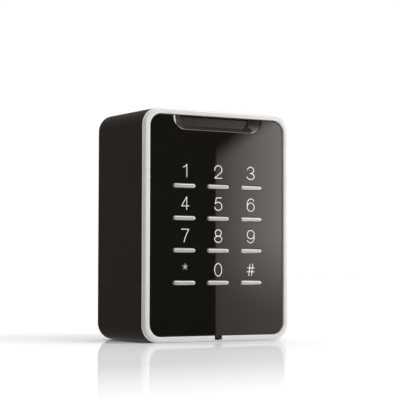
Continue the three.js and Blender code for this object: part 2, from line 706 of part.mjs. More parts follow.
function buzzerBody() {
  const can = round(0, 0, BUZZER.radius, 0, BUZZER.deep);
  const mouthFloor = BUZZER.deep - BUZZER.mouthDeep;
  return cut(can, [round(0, 0, BUZZER.mouth, mouthFloor, BUZZER.deep + PAST, SMALL_SIDES)]);
}

function capacitorBody() {
  const neckBack = CAPACITOR.neckAt + CAPACITOR.neckLong;
  return join([
    round(0, 0, CAPACITOR.radius, 0, CAPACITOR.neckAt),
    round(0, 0, CAPACITOR.radius - CAPACITOR.neck, CAPACITOR.neckAt - SINK, neckBack + SINK),
    round(0, 0, CAPACITOR.radius, neckBack, CAPACITOR.deep),
  ]);
}

// A square chip with leads along its four sides, seated with its leads at y = 0.
function chip(size) {
  const body = block(0, 0, size.side, size.side, size.lift, size.deep);
  const reach = size.side / 2 + size.reach / 2 - SINK;
  const leads = Array.from({ length: size.leads }, (_, k) => {
    const along = (k - (size.leads - 1) / 2) * size.leadPitch;
    return [-1, 1].flatMap((side) => [
      block(side * reach, along, size.reach + SINK, size.lead, 0, size.thick),
      block(along, side * reach, size.lead, size.reach + SINK, 0, size.thick),
    ]);
  }).flat();
  return join([body, ...leads]);
}

function headerPlaces() {
  return Array.from({ length: HEADER_PINS }, (_, k) => (k - (HEADER_PINS - 1) / 2) * HEADER_PITCH);
}

function pinHeader() {
  const baseFront = controlFront - SEAT_GAP - HEADER_BASE;
  const pinFront = carrierFront + SOCKET_TALL - PIN_BITE;
  const base = block(0, 0, HEADER_PINS * HEADER_PITCH, HEADER_WIDTH, baseFront, controlFront - SEAT_GAP);
  const pins = headerPlaces().map((x) => block(x, 0, PIN_SIDE, PIN_SIDE, pinFront, baseFront + SINK));
  return join([base, ...pins]);
}

function headerSocket() {
  const back = carrierFront + SOCKET_TALL;
  const side = PIN_SIDE + 2 * SLIDE_GAP;
  const body = block(0, 0, HEADER_PINS * HEADER_PITCH, HEADER_WIDTH, carrierFront, back);
  const holeFloor = back - PIN_BITE - SEAT_GAP;
  const holes = headerPlaces().map((x) => block(x, 0, side, side, holeFloor, back + PAST));
  return cut(body, holes);
}

// Where the tamper switch sits, and how deep its plunger's tip and root lie.
function tamperPlace() {
  const top = partsFront + SWITCH_TALL;
  return {
    x: SWITCH_SIDE / 2,
    z: midZ + GROMMET_FLANGE_RADIUS + SWITCH_SIDE,
    top,
    root: top - PLUNGER_BITE,
    tip: top - PLUNGER_BITE + PLUNGER_LENGTH,
  };
}

function tamperSwitch() {
  const place = tamperPlace();
  const body = block(0, 0, SWITCH_SIDE, SWITCH_SIDE, partsFront, place.top);
  const floorDepth = place.root - PLUNGER_TRAVEL - SEAT_GAP;
  return cut(body, [round(0, 0, PLUNGER_RADIUS + SLIDE_GAP, floorDepth, place.top + PAST)]);
}

function tamperPlunger() {
  const shoulder = PLUNGER_LENGTH - PLUNGER_CHAMFER;
  const tipRadius = PLUNGER_RADIUS - PLUNGER_CHAMFER;
  const stem = round(0, 0, PLUNGER_RADIUS, 0, shoulder);
  return stem.add(round(0, 0, PLUNGER_RADIUS, shoulder, PLUNGER_LENGTH, ROUND_SIDES, tipRadius));
}

// ---------------------------------------------------------------- assembly
const reader = new THREE.Group();
reader.position.y = -DEPTH / 2;

function place(name, solid, finish, x = 0, y = 0, z = 0, parent = reader) {
  const mesh = new THREE.Mesh(geometryOf(solid), new THREE.MeshStandardMaterial(FINISH[finish]));
  mesh.name = name;
  mesh.position.set(x, y, z);
  parent.add(mesh);
}

place('rear_housing', rearHousing(), 'housing');
place('front_frame', frontFrame(), 'chrome');
place('front_panel', frontPanel(), 'panel');
place('status_window', statusWindow(), 'window', 0, windowFront, windowZ);
place('housing_gasket', housingGasket(), 'rubber');
place('cable_grommet', cableGrommet(), 'rubber', 0, 0, midZ);

const keypad = new THREE.Group();
keypad.position.y = PANEL_INSET;
reader.add(keypad);
const keyShape = keySolid();
keyPlaces().forEach(({ name, x, z }) => place(name, keyShape, 'chrome', x, 0, z, keypad));

place('keypad_mat', keypadMat(), 'silicone');
place('keypad_board', keypadBoard(), 'board');
place('antenna_coil', antennaCoil(), 'copper');
place('light_guide', lightGuide(), 'diffuser', 0, 0, lampZ);
['red', 'green', 'blue'].forEach((colour, k) => {
  place(`status_lamp_${colour}`, statusLamp(), 'lamp', (k - 1) * LAMP_PITCH, lampFront, lampZ);
});
place('board_carrier', boardCarrier(), 'carrier');
place('control_board', controlBoard(), 'board');

const panelScrewSeat = carrierBack + SEAT_GAP;
const panelScrew = screw(panelScrewSeat - boardFront + SEAT_GAP + PANEL_SCREW_BITE);
fourPlaces(postX, postZ).forEach(([x, z], k) => {
  place(`panel_screw_${k + 1}`, panelScrew, 'steel', x, panelScrewSeat, z);
});
const boardScrew = screw(partsFront - controlFront + SEAT_GAP + SCREW_BITE);
fourPlaces(standoffX, standoffZ).forEach(([x, z], k) => {
  place(`board_screw_${k + 1}`, boardScrew, 'steel', x, partsFront, z);
});

const terminalZ = controlBottom + TERMINAL_TALL / 2 + BOARD_EDGE_ROOM;
place('terminal_block', terminalBlock(), 'terminal', 0, partsFront, terminalZ);
const terminalScrewDepth = partsFront + TERMINAL_DEEP - TERMINAL_WELL + SEAT_GAP;
terminalPlaces().forEach((x, k) => {
  place(`terminal_screw_${k + 1}`, terminalScrew(), 'steel', x, terminalScrewDepth, terminalZ);
});

const screwRoom = CONTROL_MARGIN + SCREW_HEAD_RADIUS + SEAT_GAP;
const capacitorX = -controlLeft - CAPACITOR.radius - BOARD_EDGE_ROOM;
const tallPartsTop = controlTop - screwRoom - BOARD_EDGE_ROOM;
const relayX = controlLeft + BOARD_EDGE_ROOM + RELAY.width / 2;
const buzzerX = -controlLeft - BOARD_EDGE_ROOM - BUZZER.radius;
const controllerX = controlLeft + BOARD_EDGE_ROOM + CONTROLLER.reach + CONTROLLER.side / 2;
place('relay', relayBody(), 'relay', relayX, partsFront, tallPartsTop - RELAY.height / 2);
place('buzzer', buzzerBody(), 'dark', buzzerX, partsFront, tallPartsTop - BUZZER.radius);
place('capacitor_1', capacitorBody(), 'dark', capacitorX, partsFront, controlZ);
place('capacitor_2', capacitorBody(), 'dark', capacitorX, partsFront, controlZ - CAPACITOR_PITCH);
place('microcontroller', chip(CONTROLLER), 'dark', controllerX, partsFront, controlZ - CONTROLLER_DROP);
place('reader_chip', chip(READER_CHIP), 'dark', 0, carrierFront, midZ + READER_CHIP_RISE);
place('header_socket', headerSocket(), 'dark', 0, 0, midZ - HEADER_DROP);
place('pin_header', pinHeader(), 'dark', 0, 0, midZ - HEADER_DROP);
place('tamper_switch', tamperSwitch(), 'dark', tamperPlace().x, 0, tamperPlace().z);
place('tamper_plunger', tamperPlunger(), 'plunger', tamperPlace().x, tamperPlace().root, tamperPlace().z);

const group = new THREE.Group();
group.add(reader);

export default group;
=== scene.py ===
"""Card reader with a twelve-key pad: the looks of each piece, a plain studio and a camera."""

import math

import bmesh
import bpy
from mathutils import Matrix, Vector


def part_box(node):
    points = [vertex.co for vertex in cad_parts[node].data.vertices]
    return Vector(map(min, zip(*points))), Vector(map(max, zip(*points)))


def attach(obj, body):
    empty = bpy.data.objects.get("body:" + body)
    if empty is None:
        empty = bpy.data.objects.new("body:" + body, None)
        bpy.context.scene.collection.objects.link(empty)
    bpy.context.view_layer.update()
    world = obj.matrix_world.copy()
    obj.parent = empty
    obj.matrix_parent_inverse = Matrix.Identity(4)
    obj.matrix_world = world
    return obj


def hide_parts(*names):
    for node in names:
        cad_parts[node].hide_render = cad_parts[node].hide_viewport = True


bl_info = {
    "name": "Card Reader",
    "version": (1, 0, 0),
    "blender": (4, 5, 0),
    "location": "View3D > Sidebar > Card Reader",
    "description": "Builds the pieces of a card reader around its packed frame",
    "category": "Object",
}

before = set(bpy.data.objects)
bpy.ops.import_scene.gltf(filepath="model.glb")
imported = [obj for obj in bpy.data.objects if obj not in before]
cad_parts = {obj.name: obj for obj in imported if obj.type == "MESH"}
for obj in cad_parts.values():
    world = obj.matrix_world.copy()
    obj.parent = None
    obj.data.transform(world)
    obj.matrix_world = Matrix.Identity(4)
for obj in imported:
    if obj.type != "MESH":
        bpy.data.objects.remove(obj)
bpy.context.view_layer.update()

MM = 0.001
BODY = "reader_body"

# ---------------------------------------------------------------- places, in millimetres
# x is to the right, z is up, and depth runs back from the front frame's face.


def millimetres(node):
    """The node's box as (left, front, bottom), (right, back, top), with y as depth."""
    low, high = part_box(node)
    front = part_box("front_frame")[0].y
    return tuple(
        Vector((corner.x / MM, (corner.y - front) / MM, corner.z / MM))
        for corner in (low, high)
    )


HOUSING = millimetres("rear_housing")
FRAME = millimetres("front_frame")
PANEL = millimetres("front_panel")
WINDOW = millimetres("status_window")
GASKET = millimetres("housing_gasket")
GROMMET = millimetres("cable_grommet")
BOARD = millimetres("keypad_board")
FRONT_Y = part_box("front_frame")[0].y
MID_Z = (HOUSING[0].z + HOUSING[1].z) / 2
TOP_Z = HOUSING[1].z
HALF_WIDTH = HOUSING[1].x
BACK = HOUSING[1].y

KEY_LABELS = ["star", "0", "hash", "7", "8", "9", "4", "5", "6", "1", "2", "3"]
KEY_BOXES = {label: millimetres("key_" + label) for label in KEY_LABELS}

# Gaps between neighbours, and how far one solid runs into the one that it joins.
SIDE_GAP = 0.2
SEAT_GAP = 0.3
SINK = 0.2

# Case sizes that the boxes don't give.
CORNER_RADIUS = 7.5
SEAM = HOUSING[0].y
HOUSING_WALL = 2.0
BACK_WALL = 2.5
RIM_LIP = 0.9
FRAME_SIDE_BAND = 2.8
FRAME_END_BAND = 2.45
FRAME_LIP = 0.9
FRAME_POCKET_WALL = 1.2
OPENING_RADIUS = 5.45
NOTCH_WIDTH = 3.7
NOTCH_FLOOR = 0.65
WALL_SLOT_RISE = 30.0
WALL_SLOT = (9.0, 4.5)
WALL_PAD = (14.0, 9.5)
WALL_PAD_THICK = 1.0
SLOT_MOUTH = ((0.0, 0.0), (0.05, 0.16), (0.16, 0.28), (0.35, 0.35))  # (grown, down) steps
TAMPER_POST_RADIUS = 2.5
SNAP_FROM_MIDDLE = 26.0
SNAP_REACH = 0.25
SNAP_GROOVE = (0.9, 8.6, 6.6, 8.6)  # (width, height, front, back)
SNAP_RIB = (0.9, 8.0, 6.2, 7.4)
GROMMET_RADII = {"neck": 7.8, "flange": 9.8}
GROMMET_THICK = {"inner": 1.2, "outer": 0.8}
GROMMET_RECESS = 1.2
RECESS_MOUTH = ((0.0, 0.3), (0.1, 0.1), (0.3, 0.0))  # (grown, deep) steps
BORE_RADIUS, BORE_TAPER, BORE_MOUTHS = 4.0, 0.4, (4.4, 4.3)
CREASE_RADII = (5.6, 7.2)
CREASE_DEPTH = 0.2
CREASE_HALF = 0.15
PANEL_FACE = 0.75
PANEL_BACK = 3.25
FLANGE_FRONT = 1.2
SKIRT_WALL = 1.5
SCOOP_OUTER = {"half": 21.95, "bottom": 91.45, "top": 97.8, "radius": 5.5}
SCOOP_FLOOR = {"half": 17.3, "bottom": 93.25, "top": 97.3, "radius": 3.0}
SCOOP_DEPTH = 2.95
FLOOR_LAND = 0.3
WINDOW_POCKET_Z = (92.05, 97.3)
WINDOW_POCKET_HALF = 18.5
BOSS_MARGIN = 1.5
BOSS_BACK = 5.8
KEY_LENGTH = 11.0
KEY_WIDTH = 1.8
SLOT_PLAY = 0.15
FOOT_MARGIN, FOOT_THICK, FOOT_EDGE = 1.1, 1.0, 0.1  # the foot that keeps a key in
POST_RADIUS = 2.5
POST_EDGE = 2.75
POST_DROP = 10.5
SCREW_PILOT = 1.4
PILOT_DEPTH = 3.8
SYMBOL_TOP, SYMBOL_SIDE = 2.62, 1.76  # half a symbol's height and width as it is drawn
SYMBOL_SHIFT = (0.55, 0.22, 0.0)  # how far right of its bar each column's symbols sit
SYMBOL_RISE = (5.6, 6.35, 6.35, 6.5)  # how far above its bar each row's symbols sit
FINE_STROKES = {"star": 0.6, "1": 0.88, "4": 0.85, "7": 0.9}
INK_SINK, INK_THICK = 0.02, 0.05
EDGE_ANGLE = 30.0
EPS = 1.0  # how far a cut runs past the face that it opens

CORNER_STEPS = 14
EDGE_STEPS = 8
PILL_STEPS = 16
ROUND_STEPS = 64


# ---------------------------------------------------------------- studio
# Each light runs from its first strength to its second as a direction goes from its third
# value to its fourth. Directions are along x, y or z, or in degrees round from the front.
# The left glow is measured along LEFT_FRONT, and the softbox's width from SOFTBOX_MIDDLE.
ROOM_GLOW = 0.03
BEHIND_Y, BEHIND_X = (0.0, 1.3, -0.35, 0.25), (0.36, 1.0, -0.70, -0.10)
ABOVE_Z, ABOVE_X = (0.0, 1.35, 0.25, 0.75), (0.25, 1.0, -0.55, 0.05)
BELOW_Z = (0.30, 0.0, -0.55, -0.12)
LEFT_FRONT, LEFT_GLOW = (-0.87, -0.50), (0.0, 0.15, 0.86, 0.97)
SOFTBOX_Z, SOFTBOX_Y = (0.0, 3.6, 0.32, 0.46), (1.0, 0.0, -0.32, -0.12)
SOFTBOX_MIDDLE, SOFTBOX_X = 0.46, (1.0, 0.0, 0.22, 0.42)
CARD_RAMP = (0.95, 3.2, 31.77, 34.33)
CARD_EDGE = (0.0, 1.0, 31.71, 31.78)
CARD_END, CARD_GAIN = (1.0, 0.0, 72.0, 100.0), (1.0, 2.1, 39.0, 50.0)
CARD_START, CARD_LEAN, CARD_MOST_LEAN = 31.83, 0.0122, 0.22
CARD_TOP = (1.0, 0.0, 0.070, 0.090)
CARD_FULL, CARD_LOW = (0.15, 1.0, -0.034, 0.032), 0.58
LIGHT_COLOUR = (1.0, 0.975, 0.955, 1.0)

FLOOR_COLOUR = (0.90, 0.915, 0.935, 1.0)
FLOOR_ROUGHNESS = 0.045
FLOOR_GLOSS = (0.0, 0.36, FRONT_Y - 0.265, FRONT_Y - 0.12)
FLOOR_REACH, FLOOR_LEVEL = 6.0, -0.0001

CAMERA_LENS, CAMERA_SENSOR = 130.97, 36.0
CAMERA_PLACE = (-0.33373, -0.53696 + FRONT_Y, 0.03022)
CAMERA_TURN, CAMERA_TILT, CAMERA_ROLL = -31.121, 92.811, 0.13


# ---------------------------------------------------------------- values a user would change
class ReaderSizes(bpy.types.PropertyGroup):
    frame_edge: bpy.props.FloatProperty(
        name="Frame edge radius",
        description="Roundness of the front frame's outer edge",
        default=1.0 * MM, min=0.3 * MM, max=1.3 * MM, subtype="DISTANCE", unit="LENGTH",
    )
    frame_groove: bpy.props.FloatProperty(
        name="Frame groove",
        description="Depth of the fine line between the frame's side and its rounded edge",
        default=0.16 * MM, min=0.02 * MM, max=0.25 * MM, subtype="DISTANCE", unit="LENGTH",
    )
    housing_edge: bpy.props.FloatProperty(
        name="Housing back edge radius",
        description="Roundness of the housing's back edge",
        default=1.2 * MM, min=0.4 * MM, max=2.0 * MM, subtype="DISTANCE", unit="LENGTH",
    )
    scoop_rim: bpy.props.FloatProperty(
        name="Scoop rim",
        description="How softly the panel rolls into the scoop, as a share of its slope",
        default=0.18, min=0.03, max=0.25, subtype="FACTOR",
    )
    key_crown: bpy.props.FloatProperty(
        name="Key crown",
        description="Roundness of a key bar's front edge",
        default=0.7 * MM, min=0.2 * MM, max=0.8 * MM, subtype="DISTANCE", unit="LENGTH",
    )
    print_stroke: bpy.props.FloatProperty(
        name="Symbol stroke",
        description="Width of the lines that the symbols are printed in",
        default=0.34 * MM, min=0.2 * MM, max=0.9 * MM, subtype="DISTANCE", unit="LENGTH",
    )
    print_height: bpy.props.FloatProperty(
        name="Symbol height",
        description="Height of a printed number",
        default=5.8 * MM, min=4.0 * MM, max=6.5 * MM, subtype="DISTANCE", unit="LENGTH",
    )


def colour_property(name, description, default):
    return bpy.props.FloatVectorProperty(
        name=name, description=description, default=default,
        size=3, min=0.0, max=1.0, subtype="COLOR",
    )


class ReaderColours(bpy.types.PropertyGroup):
    housing: colour_property("Housing", "Matt moulded case", (0.0155, 0.0121, 0.0096))
    trim: colour_property("Frame", "Satin silver frame", (0.64, 0.645, 0.65))
    panel: colour_property("Panel", "Gloss black panel", (0.0062, 0.0057, 0.0043))
    window: colour_property("Window", "Smoked window", (0.044, 0.037, 0.033))
    keys: colour_property("Key bars", "Silver key bars", (0.44, 0.435, 0.42))
    print: colour_property("Symbols", "Printed numbers", (0.86, 0.85, 0.83))
    rubber: colour_property("Rubber", "Grommet and gasket", (0.012, 0.012, 0.0125))
    silicone: colour_property("Keypad mat", "Moulded silicone mat", (0.26, 0.28, 0.30))
    board: colour_property("Circuit boards", "Solder mask", (0.010, 0.085, 0.030))
    copper: colour_property("Antenna coil", "Enamelled copper turns", (0.62, 0.26, 0.10))
    carrier: colour_property("Board carrier", "Dark moulded carrier", (0.030, 0.033, 0.036))
    relay: colour_property("Relay", "Blue relay cover", (0.020, 0.085, 0.32))
    terminals: colour_property("Terminal block", "Green terminal block", (0.030, 0.21, 0.070))


# ---------------------------------------------------------------- outlines, as (x, z) points
def arc(x, z, radius, start, end, steps, radius_z=None):
    """Points along an arc, both ends among them. The angles are in degrees."""
    radius_z = radius if radius_z is None else radius_z
    angles = [math.radians(start + (end - start) * k / steps) for k in range(steps + 1)]
    return [(x + radius * math.cos(a), z + radius_z * math.sin(a)) for a in angles]


def rounded_rect(half, low, high, radius, steps=CORNER_STEPS):
    radius = max(radius, 0.3)
    right, left = half - radius, radius - half
    bottom, top = low + radius, high - radius
    return (
        arc(right, bottom, radius, -90, 0, steps)
        + arc(right, top, radius, 0, 90, steps)
        + arc(left, top, radius, 90, 180, steps)
        + arc(left, bottom, radius, 180, 270, steps)
    )


def case_outline(draw):
    """The case's outline drawn in by an amount on every side."""
    return rounded_rect(HALF_WIDTH - draw, draw, TOP_Z - draw, CORNER_RADIUS - draw)


def opening_outline(draw):
    """The frame's opening drawn in by an amount on every side."""
    return rounded_rect(
        HALF_WIDTH - FRAME_SIDE_BAND - draw, FRAME_END_BAND + draw,
        TOP_Z - FRAME_END_BAND - draw, OPENING_RADIUS - draw,
    )


def pill(x, z, length, width, steps=PILL_STEPS):
    reach = (length - width) / 2
    return (
        arc(x + reach, z, width / 2, -90, 90, steps)
        + arc(x - reach, z, width / 2, 90, 270, steps)
    )


def circle(x, z, radius, steps=ROUND_STEPS):
    return arc(x, z, radius, 0, 360, steps)[:-1]


def scoop_outline(share):
    """The scoop's outline at a share of its slope: 0 at the panel's face, 1 at its floor."""
    outer, floor = SCOOP_OUTER, SCOOP_FLOOR
    edge = {key: outer[key] + (floor[key] - outer[key]) * share for key in outer}
    half, bottom, radius = edge["half"], edge["bottom"], edge["radius"]
    return (
        [(half, edge["top"]), (-half, edge["top"])]
        + arc(radius - half, bottom + radius, radius, 180, 270, CORNER_STEPS)
        + arc(half - radius, bottom + radius, radius, 270, 360, CORNER_STEPS)
    )


def rounding(radius, steps=EDGE_STEPS):
    """A quarter-round edge, from its face down its side, as (drawn in, down)."""
    angles = [math.pi / 2 * k / steps for k in range(steps + 1)]
    return [(radius * (1 - math.sin(a)), radius * (1 - math.cos(a))) for a in angles]


# ---------------------------------------------------------------- meshes
def skin(sections):
    """A closed mesh over outlines with the same number of points, listed as (outline, depth)."""
    mesh = bpy.data.meshes.new("skin")
    made = bmesh.new()
    rings = [[made.verts.new((x, depth, z)) for x, z in outline] for outline, depth in sections]
    for here, after in zip(rings, rings[1:]):
        for i in range(len(here)):
            j = (i + 1) % len(here)
            made.faces.new((here[i], after[i], after[j], here[j]))
    made.faces.new(rings[0])
    made.faces.new(rings[-1])
    bmesh.ops.remove_doubles(made, verts=made.verts, dist=1e-5)
    bmesh.ops.recalc_face_normals(made, faces=made.faces)
    made.to_mesh(mesh)
    made.free()
    return mesh


def slab(outline, front, back):
    return skin([(outline, front), (outline, back)])


def disc(x, z, radius, front, back, steps=ROUND_STEPS):
    return slab(circle(x, z, radius, steps), front, back)


def box_mesh(x, z, width, height, front, back):
    corners = [(-0.5, -0.5), (0.5, -0.5), (0.5, 0.5), (-0.5, 0.5)]
    return slab([(x + width * a, z + height * b) for a, b in corners], front, back)


def snaps(wall, size):
    """Four snap ribs, or the grooves for them, on walls this far to either side."""
    return [
        box_mesh(side * (wall + SNAP_REACH), MID_Z + rise, *size)
        for side in (-1, 1) for rise in (-SNAP_FROM_MIDDLE, SNAP_FROM_MIDDLE)
    ]


def worked(adds, cuts=()):
    """One mesh made of the first mesh, with the other adds joined on and the cuts taken out."""
    scene = bpy.context.scene
    body = bpy.data.objects.new("work", adds[0])
    scene.collection.objects.link(body)
    steps = [(mesh, "UNION") for mesh in adds[1:]] + [(mesh, "DIFFERENCE") for mesh in cuts]
    tools = []
    for mesh, how in steps:
        tool = bpy.data.objects.new("tool", mesh)
        scene.collection.objects.link(tool)
        tools.append(tool)
        step = body.modifiers.new(how.lower(), "BOOLEAN")
        step.operation, step.solver, step.object = how, "MANIFOLD", tool
    bpy.context.view_layer.update()
    shaped = body.evaluated_get(bpy.context.evaluated_depsgraph_get())
    mesh = bpy.data.meshes.new_from_object(shaped)
    for spare in tools + [body]:
        old = spare.data
        bpy.data.objects.remove(spare)
        bpy.data.meshes.remove(old)
    if not mesh.polygons:
        raise RuntimeError("a worked mesh came out empty")
    return mesh


def piece(name, mesh, body, finish, replaces=(), sharp=32.0):
    """Places a mesh in the row frame as a piece that rides on a body."""
    mesh.transform(Matrix.Diagonal((MM, MM, MM, 1.0)))
    mesh.transform(Matrix.Translation((0.0, FRONT_Y, 0.0)))
    mesh.name = name
    obj = bpy.data.objects.new(name, mesh)
    bpy.context.scene.collection.objects.link(obj)
    mesh.materials.clear()
    mesh.materials.append(finish)
    mesh.shade_smooth()
    mesh.set_sharp_from_angle(angle=math.radians(sharp))
    even = obj.modifiers.new("even_shading", "WEIGHTED_NORMAL")
    even.mode, even.weight, even.keep_sharp = "FACE_AREA", 60, True
    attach(obj, body)
    if replaces:
        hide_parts(*replaces)
    return obj


# ---------------------------------------------------------------- finishes
def node(tree, kind, **values):
    made = tree.nodes.new(kind)
    for key, value in values.items():
        setattr(made, key, value)
    return made


def shader_base(name, roughness, metallic=0.0, specular=0.5, coat=0.0, coat_roughness=0.05):
    """A new material, its node tree, its main shader and the object's own coordinates."""
    finish = bpy.data.materials.new(name)
    finish.use_nodes = True
    tree = finish.node_tree
    main = tree.nodes["Principled BSDF"]
    main.inputs["Roughness"].default_value = roughness
    main.inputs["Metallic"].default_value = metallic
    main.inputs["Specular IOR Level"].default_value = specular
    main.inputs["Coat Weight"].default_value = coat
    main.inputs["Coat Roughness"].default_value = coat_roughness
    where = node(tree, "ShaderNodeTexCoord").outputs["Object"]
    return finish, tree, main, where


def noise(tree, where, scale, detail=3.0, stretch=None):
    if stretch:
        mapping = node(tree, "ShaderNodeMapping")
        mapping.inputs["Scale"].default_value = stretch
        tree.links.new(where, mapping.inputs["Vector"])
        where = mapping.outputs["Vector"]
    made = node(tree, "ShaderNodeTexNoise")
    made.inputs["Scale"].default_value = scale
    made.inputs["Detail"].default_value = detail
    tree.links.new(where, made.inputs["Vector"])
    return made.outputs["Fac"]


def spread(tree, value, low, high, start=0.3, end=0.7, how="LINEAR"):
    """Maps a value from start..end to low..high."""
    made = node(tree, "ShaderNodeMapRange", interpolation_type=how)
    numbers = {"From Min": start, "From Max": end, "To Min": low, "To Max": high}
    for socket, number in numbers.items():
        made.inputs[socket].default_value = number
    tree.links.new(value, made.inputs["Value"])
    return made.outputs["Result"]


def blend(tree, factor, low, high):
    """A colour that runs from low to high with the factor. Each is a colour or a socket."""
    made = node(tree, "ShaderNodeMix", data_type="RGBA")
    sockets = [s for s in made.inputs if s.enabled]
    tree.links.new(factor, sockets[0])
    for socket, value in zip(sockets[1:], (low, high)):
        if isinstance(value, bpy.types.NodeSocket):
            tree.links.new(value, socket)
        else:
            socket.default_value = (*value, 1.0)
    return [s for s in made.outputs if s.enabled][0]


def sums(tree, how, first, second=None):
    made = node(tree, "ShaderNodeMath", operation=how)
    for socket, value in zip(made.inputs, (first, second)):
        if isinstance(value, bpy.types.NodeSocket):
            tree.links.new(value, socket)
        elif value is not None:
            socket.default_value = value
    return made.outputs["Value"]


def axes(tree, output):
    """The x, y and z of a coordinate output."""
    split = node(tree, "ShaderNodeSeparateXYZ")
    tree.links.new(node(tree, "ShaderNodeTexCoord").outputs[output], split.inputs["Vector"])
    return [split.outputs[axis] for axis in "XYZ"]


def bump(tree, main, height, distance):
    made = node(tree, "ShaderNodeBump")
    made.inputs["Distance"].default_value = distance
    tree.links.new(height, made.inputs["Height"])
    tree.links.new(made.outputs["Normal"], main.inputs["Normal"])


def tint_gloss(finish, colour):
    """Colours a finish's own shine."""
    main = finish.node_tree.nodes["Principled BSDF"]
    main.inputs["Specular Tint"].default_value = (*colour, 1.0)


def shade(colour, factor):
    return tuple(min(1.0, max(0.0, c * factor)) for c in colour)


def moulded(
    name, colour, roughness, grain=1800.0, depth=0.012, mottle=0.10, specular=0.5, coat=0.0,
):
    """Moulded plastic or rubber: fine grain, slow colour drift and uneven polish."""
    finish, tree, main, where = shader_base(name, roughness, specular=specular, coat=coat)
    drift = noise(tree, where, 60.0)
    tint = blend(tree, drift, shade(colour, 1 - mottle), shade(colour, 1 + mottle))
    tree.links.new(tint, main.inputs["Base Color"])
    fine = noise(tree, where, grain, detail=2.0)
    polish = spread(tree, fine, roughness - 0.05, min(1.0, roughness + 0.06))
    tree.links.new(polish, main.inputs["Roughness"])
    bump(tree, main, fine, depth * MM)
    return finish


def brushed(name, colour, roughness, stretch, scale):
    """Metal with fine drawn lines and a slight drift of tone."""
    finish, tree, main, where = shader_base(name, roughness, metallic=1.0)
    lines = noise(tree, where, scale, stretch=stretch)
    drift = noise(tree, where, 90.0)
    tint = blend(tree, drift, shade(colour, 0.95), shade(colour, 1.04))
    tree.links.new(tint, main.inputs["Base Color"])
    polish = spread(tree, lines, roughness - 0.05, roughness + 0.07)
    tree.links.new(polish, main.inputs["Roughness"])
    bump(tree, main, lines, 0.003 * MM)
    return finish


def satin_silver(name, colour, roughness, metallic, coat):
    """Satin silver lacquer: bright flakes in a fine, even grain under a thin clear coat."""
    finish, tree, main, where = shader_base(
        name, roughness, metallic=metallic, coat=coat, coat_roughness=0.06,
    )
    flakes = node(tree, "ShaderNodeTexVoronoi")
    flakes.inputs["Scale"].default_value = 5200.0
    tree.links.new(where, flakes.inputs["Vector"])
    tint = blend(tree, flakes.outputs["Color"], shade(colour, 0.94), shade(colour, 1.05))
    tree.links.new(tint, main.inputs["Base Color"])
    fine = noise(tree, where, 2600.0, detail=2.0)
    polish = spread(tree, fine, roughness - 0.04, roughness + 0.05)
    tree.links.new(polish, main.inputs["Roughness"])
    bump(tree, main, fine, 0.004 * MM)
    return finish


def gloss_black(name, colour):
    """Polished black panel with a barely visible wave and finely uneven polish."""
    finish, tree, main, where = shader_base(name, 0.02, specular=0.62)
    tint_gloss(finish, (1.0, 0.90, 0.85))
    drift = noise(tree, where, 45.0)
    tint = blend(tree, drift, shade(colour, 0.9), shade(colour, 1.12))
    tree.links.new(tint, main.inputs["Base Color"])
    smear = noise(tree, where, 130.0, detail=4.0)
    polish = spread(tree, smear, 0.006, 0.014)
    tree.links.new(polish, main.inputs["Roughness"])
    bump(tree, main, noise(tree, where, 120.0, detail=1.0), 0.00015 * MM)
    return finish


def smoked(name, colour, roughness=0.16, specular=0.35):
    """Smoked clear plastic: brown-grey, with the diffuser's faint ribs behind it."""
    finish, tree, main, where = shader_base(name, roughness, specular=specular)
    ribs = noise(tree, where, 240.0, stretch=(1.0, 1.0, 0.05))
    tint = blend(tree, ribs, shade(colour, 0.86), shade(colour, 1.16))
    tree.links.new(tint, main.inputs["Base Color"])
    polish = spread(tree, noise(tree, where, 300.0), roughness - 0.04, roughness + 0.04)
    tree.links.new(polish, main.inputs["Roughness"])
    return finish


def circuit_board(name, colour, pitch):
    """Solder mask over a net of traces, with tinned pads where the traces meet."""
    finish, tree, main, where = shader_base(name, 0.38, coat=0.3, coat_roughness=0.15)
    turned = node(tree, "ShaderNodeMapping")
    turned.inputs["Rotation"].default_value = (math.radians(90), 0.0, 0.0)
    tree.links.new(where, turned.inputs["Vector"])
    traces = node(tree, "ShaderNodeTexBrick", offset=0.37, squash=1.6, squash_frequency=3)
    values = {
        "Scale": 1.0 / (pitch * MM), "Mortar Size": 0.045, "Mortar Smooth": 0.1,
        "Brick Width": 2.3, "Row Height": 0.8,
    }
    for socket, number in values.items():
        traces.inputs[socket].default_value = number
    tree.links.new(turned.outputs["Vector"], traces.inputs["Vector"])
    pads = node(tree, "ShaderNodeTexVoronoi")
    pads.inputs["Scale"].default_value = 0.42 / (pitch * MM)
    pads.inputs["Randomness"].default_value = 0.85
    tree.links.new(turned.outputs["Vector"], pads.inputs["Vector"])
    on_pad = spread(tree, pads.outputs["Distance"], 1.0, 0.0, start=0.13, end=0.16)
    cloud = blend(tree, noise(tree, where, 160.0), shade(colour, 0.85), shade(colour, 1.15))
    netted = blend(tree, traces.outputs["Fac"], cloud, shade(colour, 2.1))
    tinned = blend(tree, on_pad, netted, (0.62, 0.60, 0.55))
    tree.links.new(tinned, main.inputs["Base Color"])
    height = sums(tree, "ADD", traces.outputs["Fac"], on_pad)
    bump(tree, main, height, 0.03 * MM)
    return finish


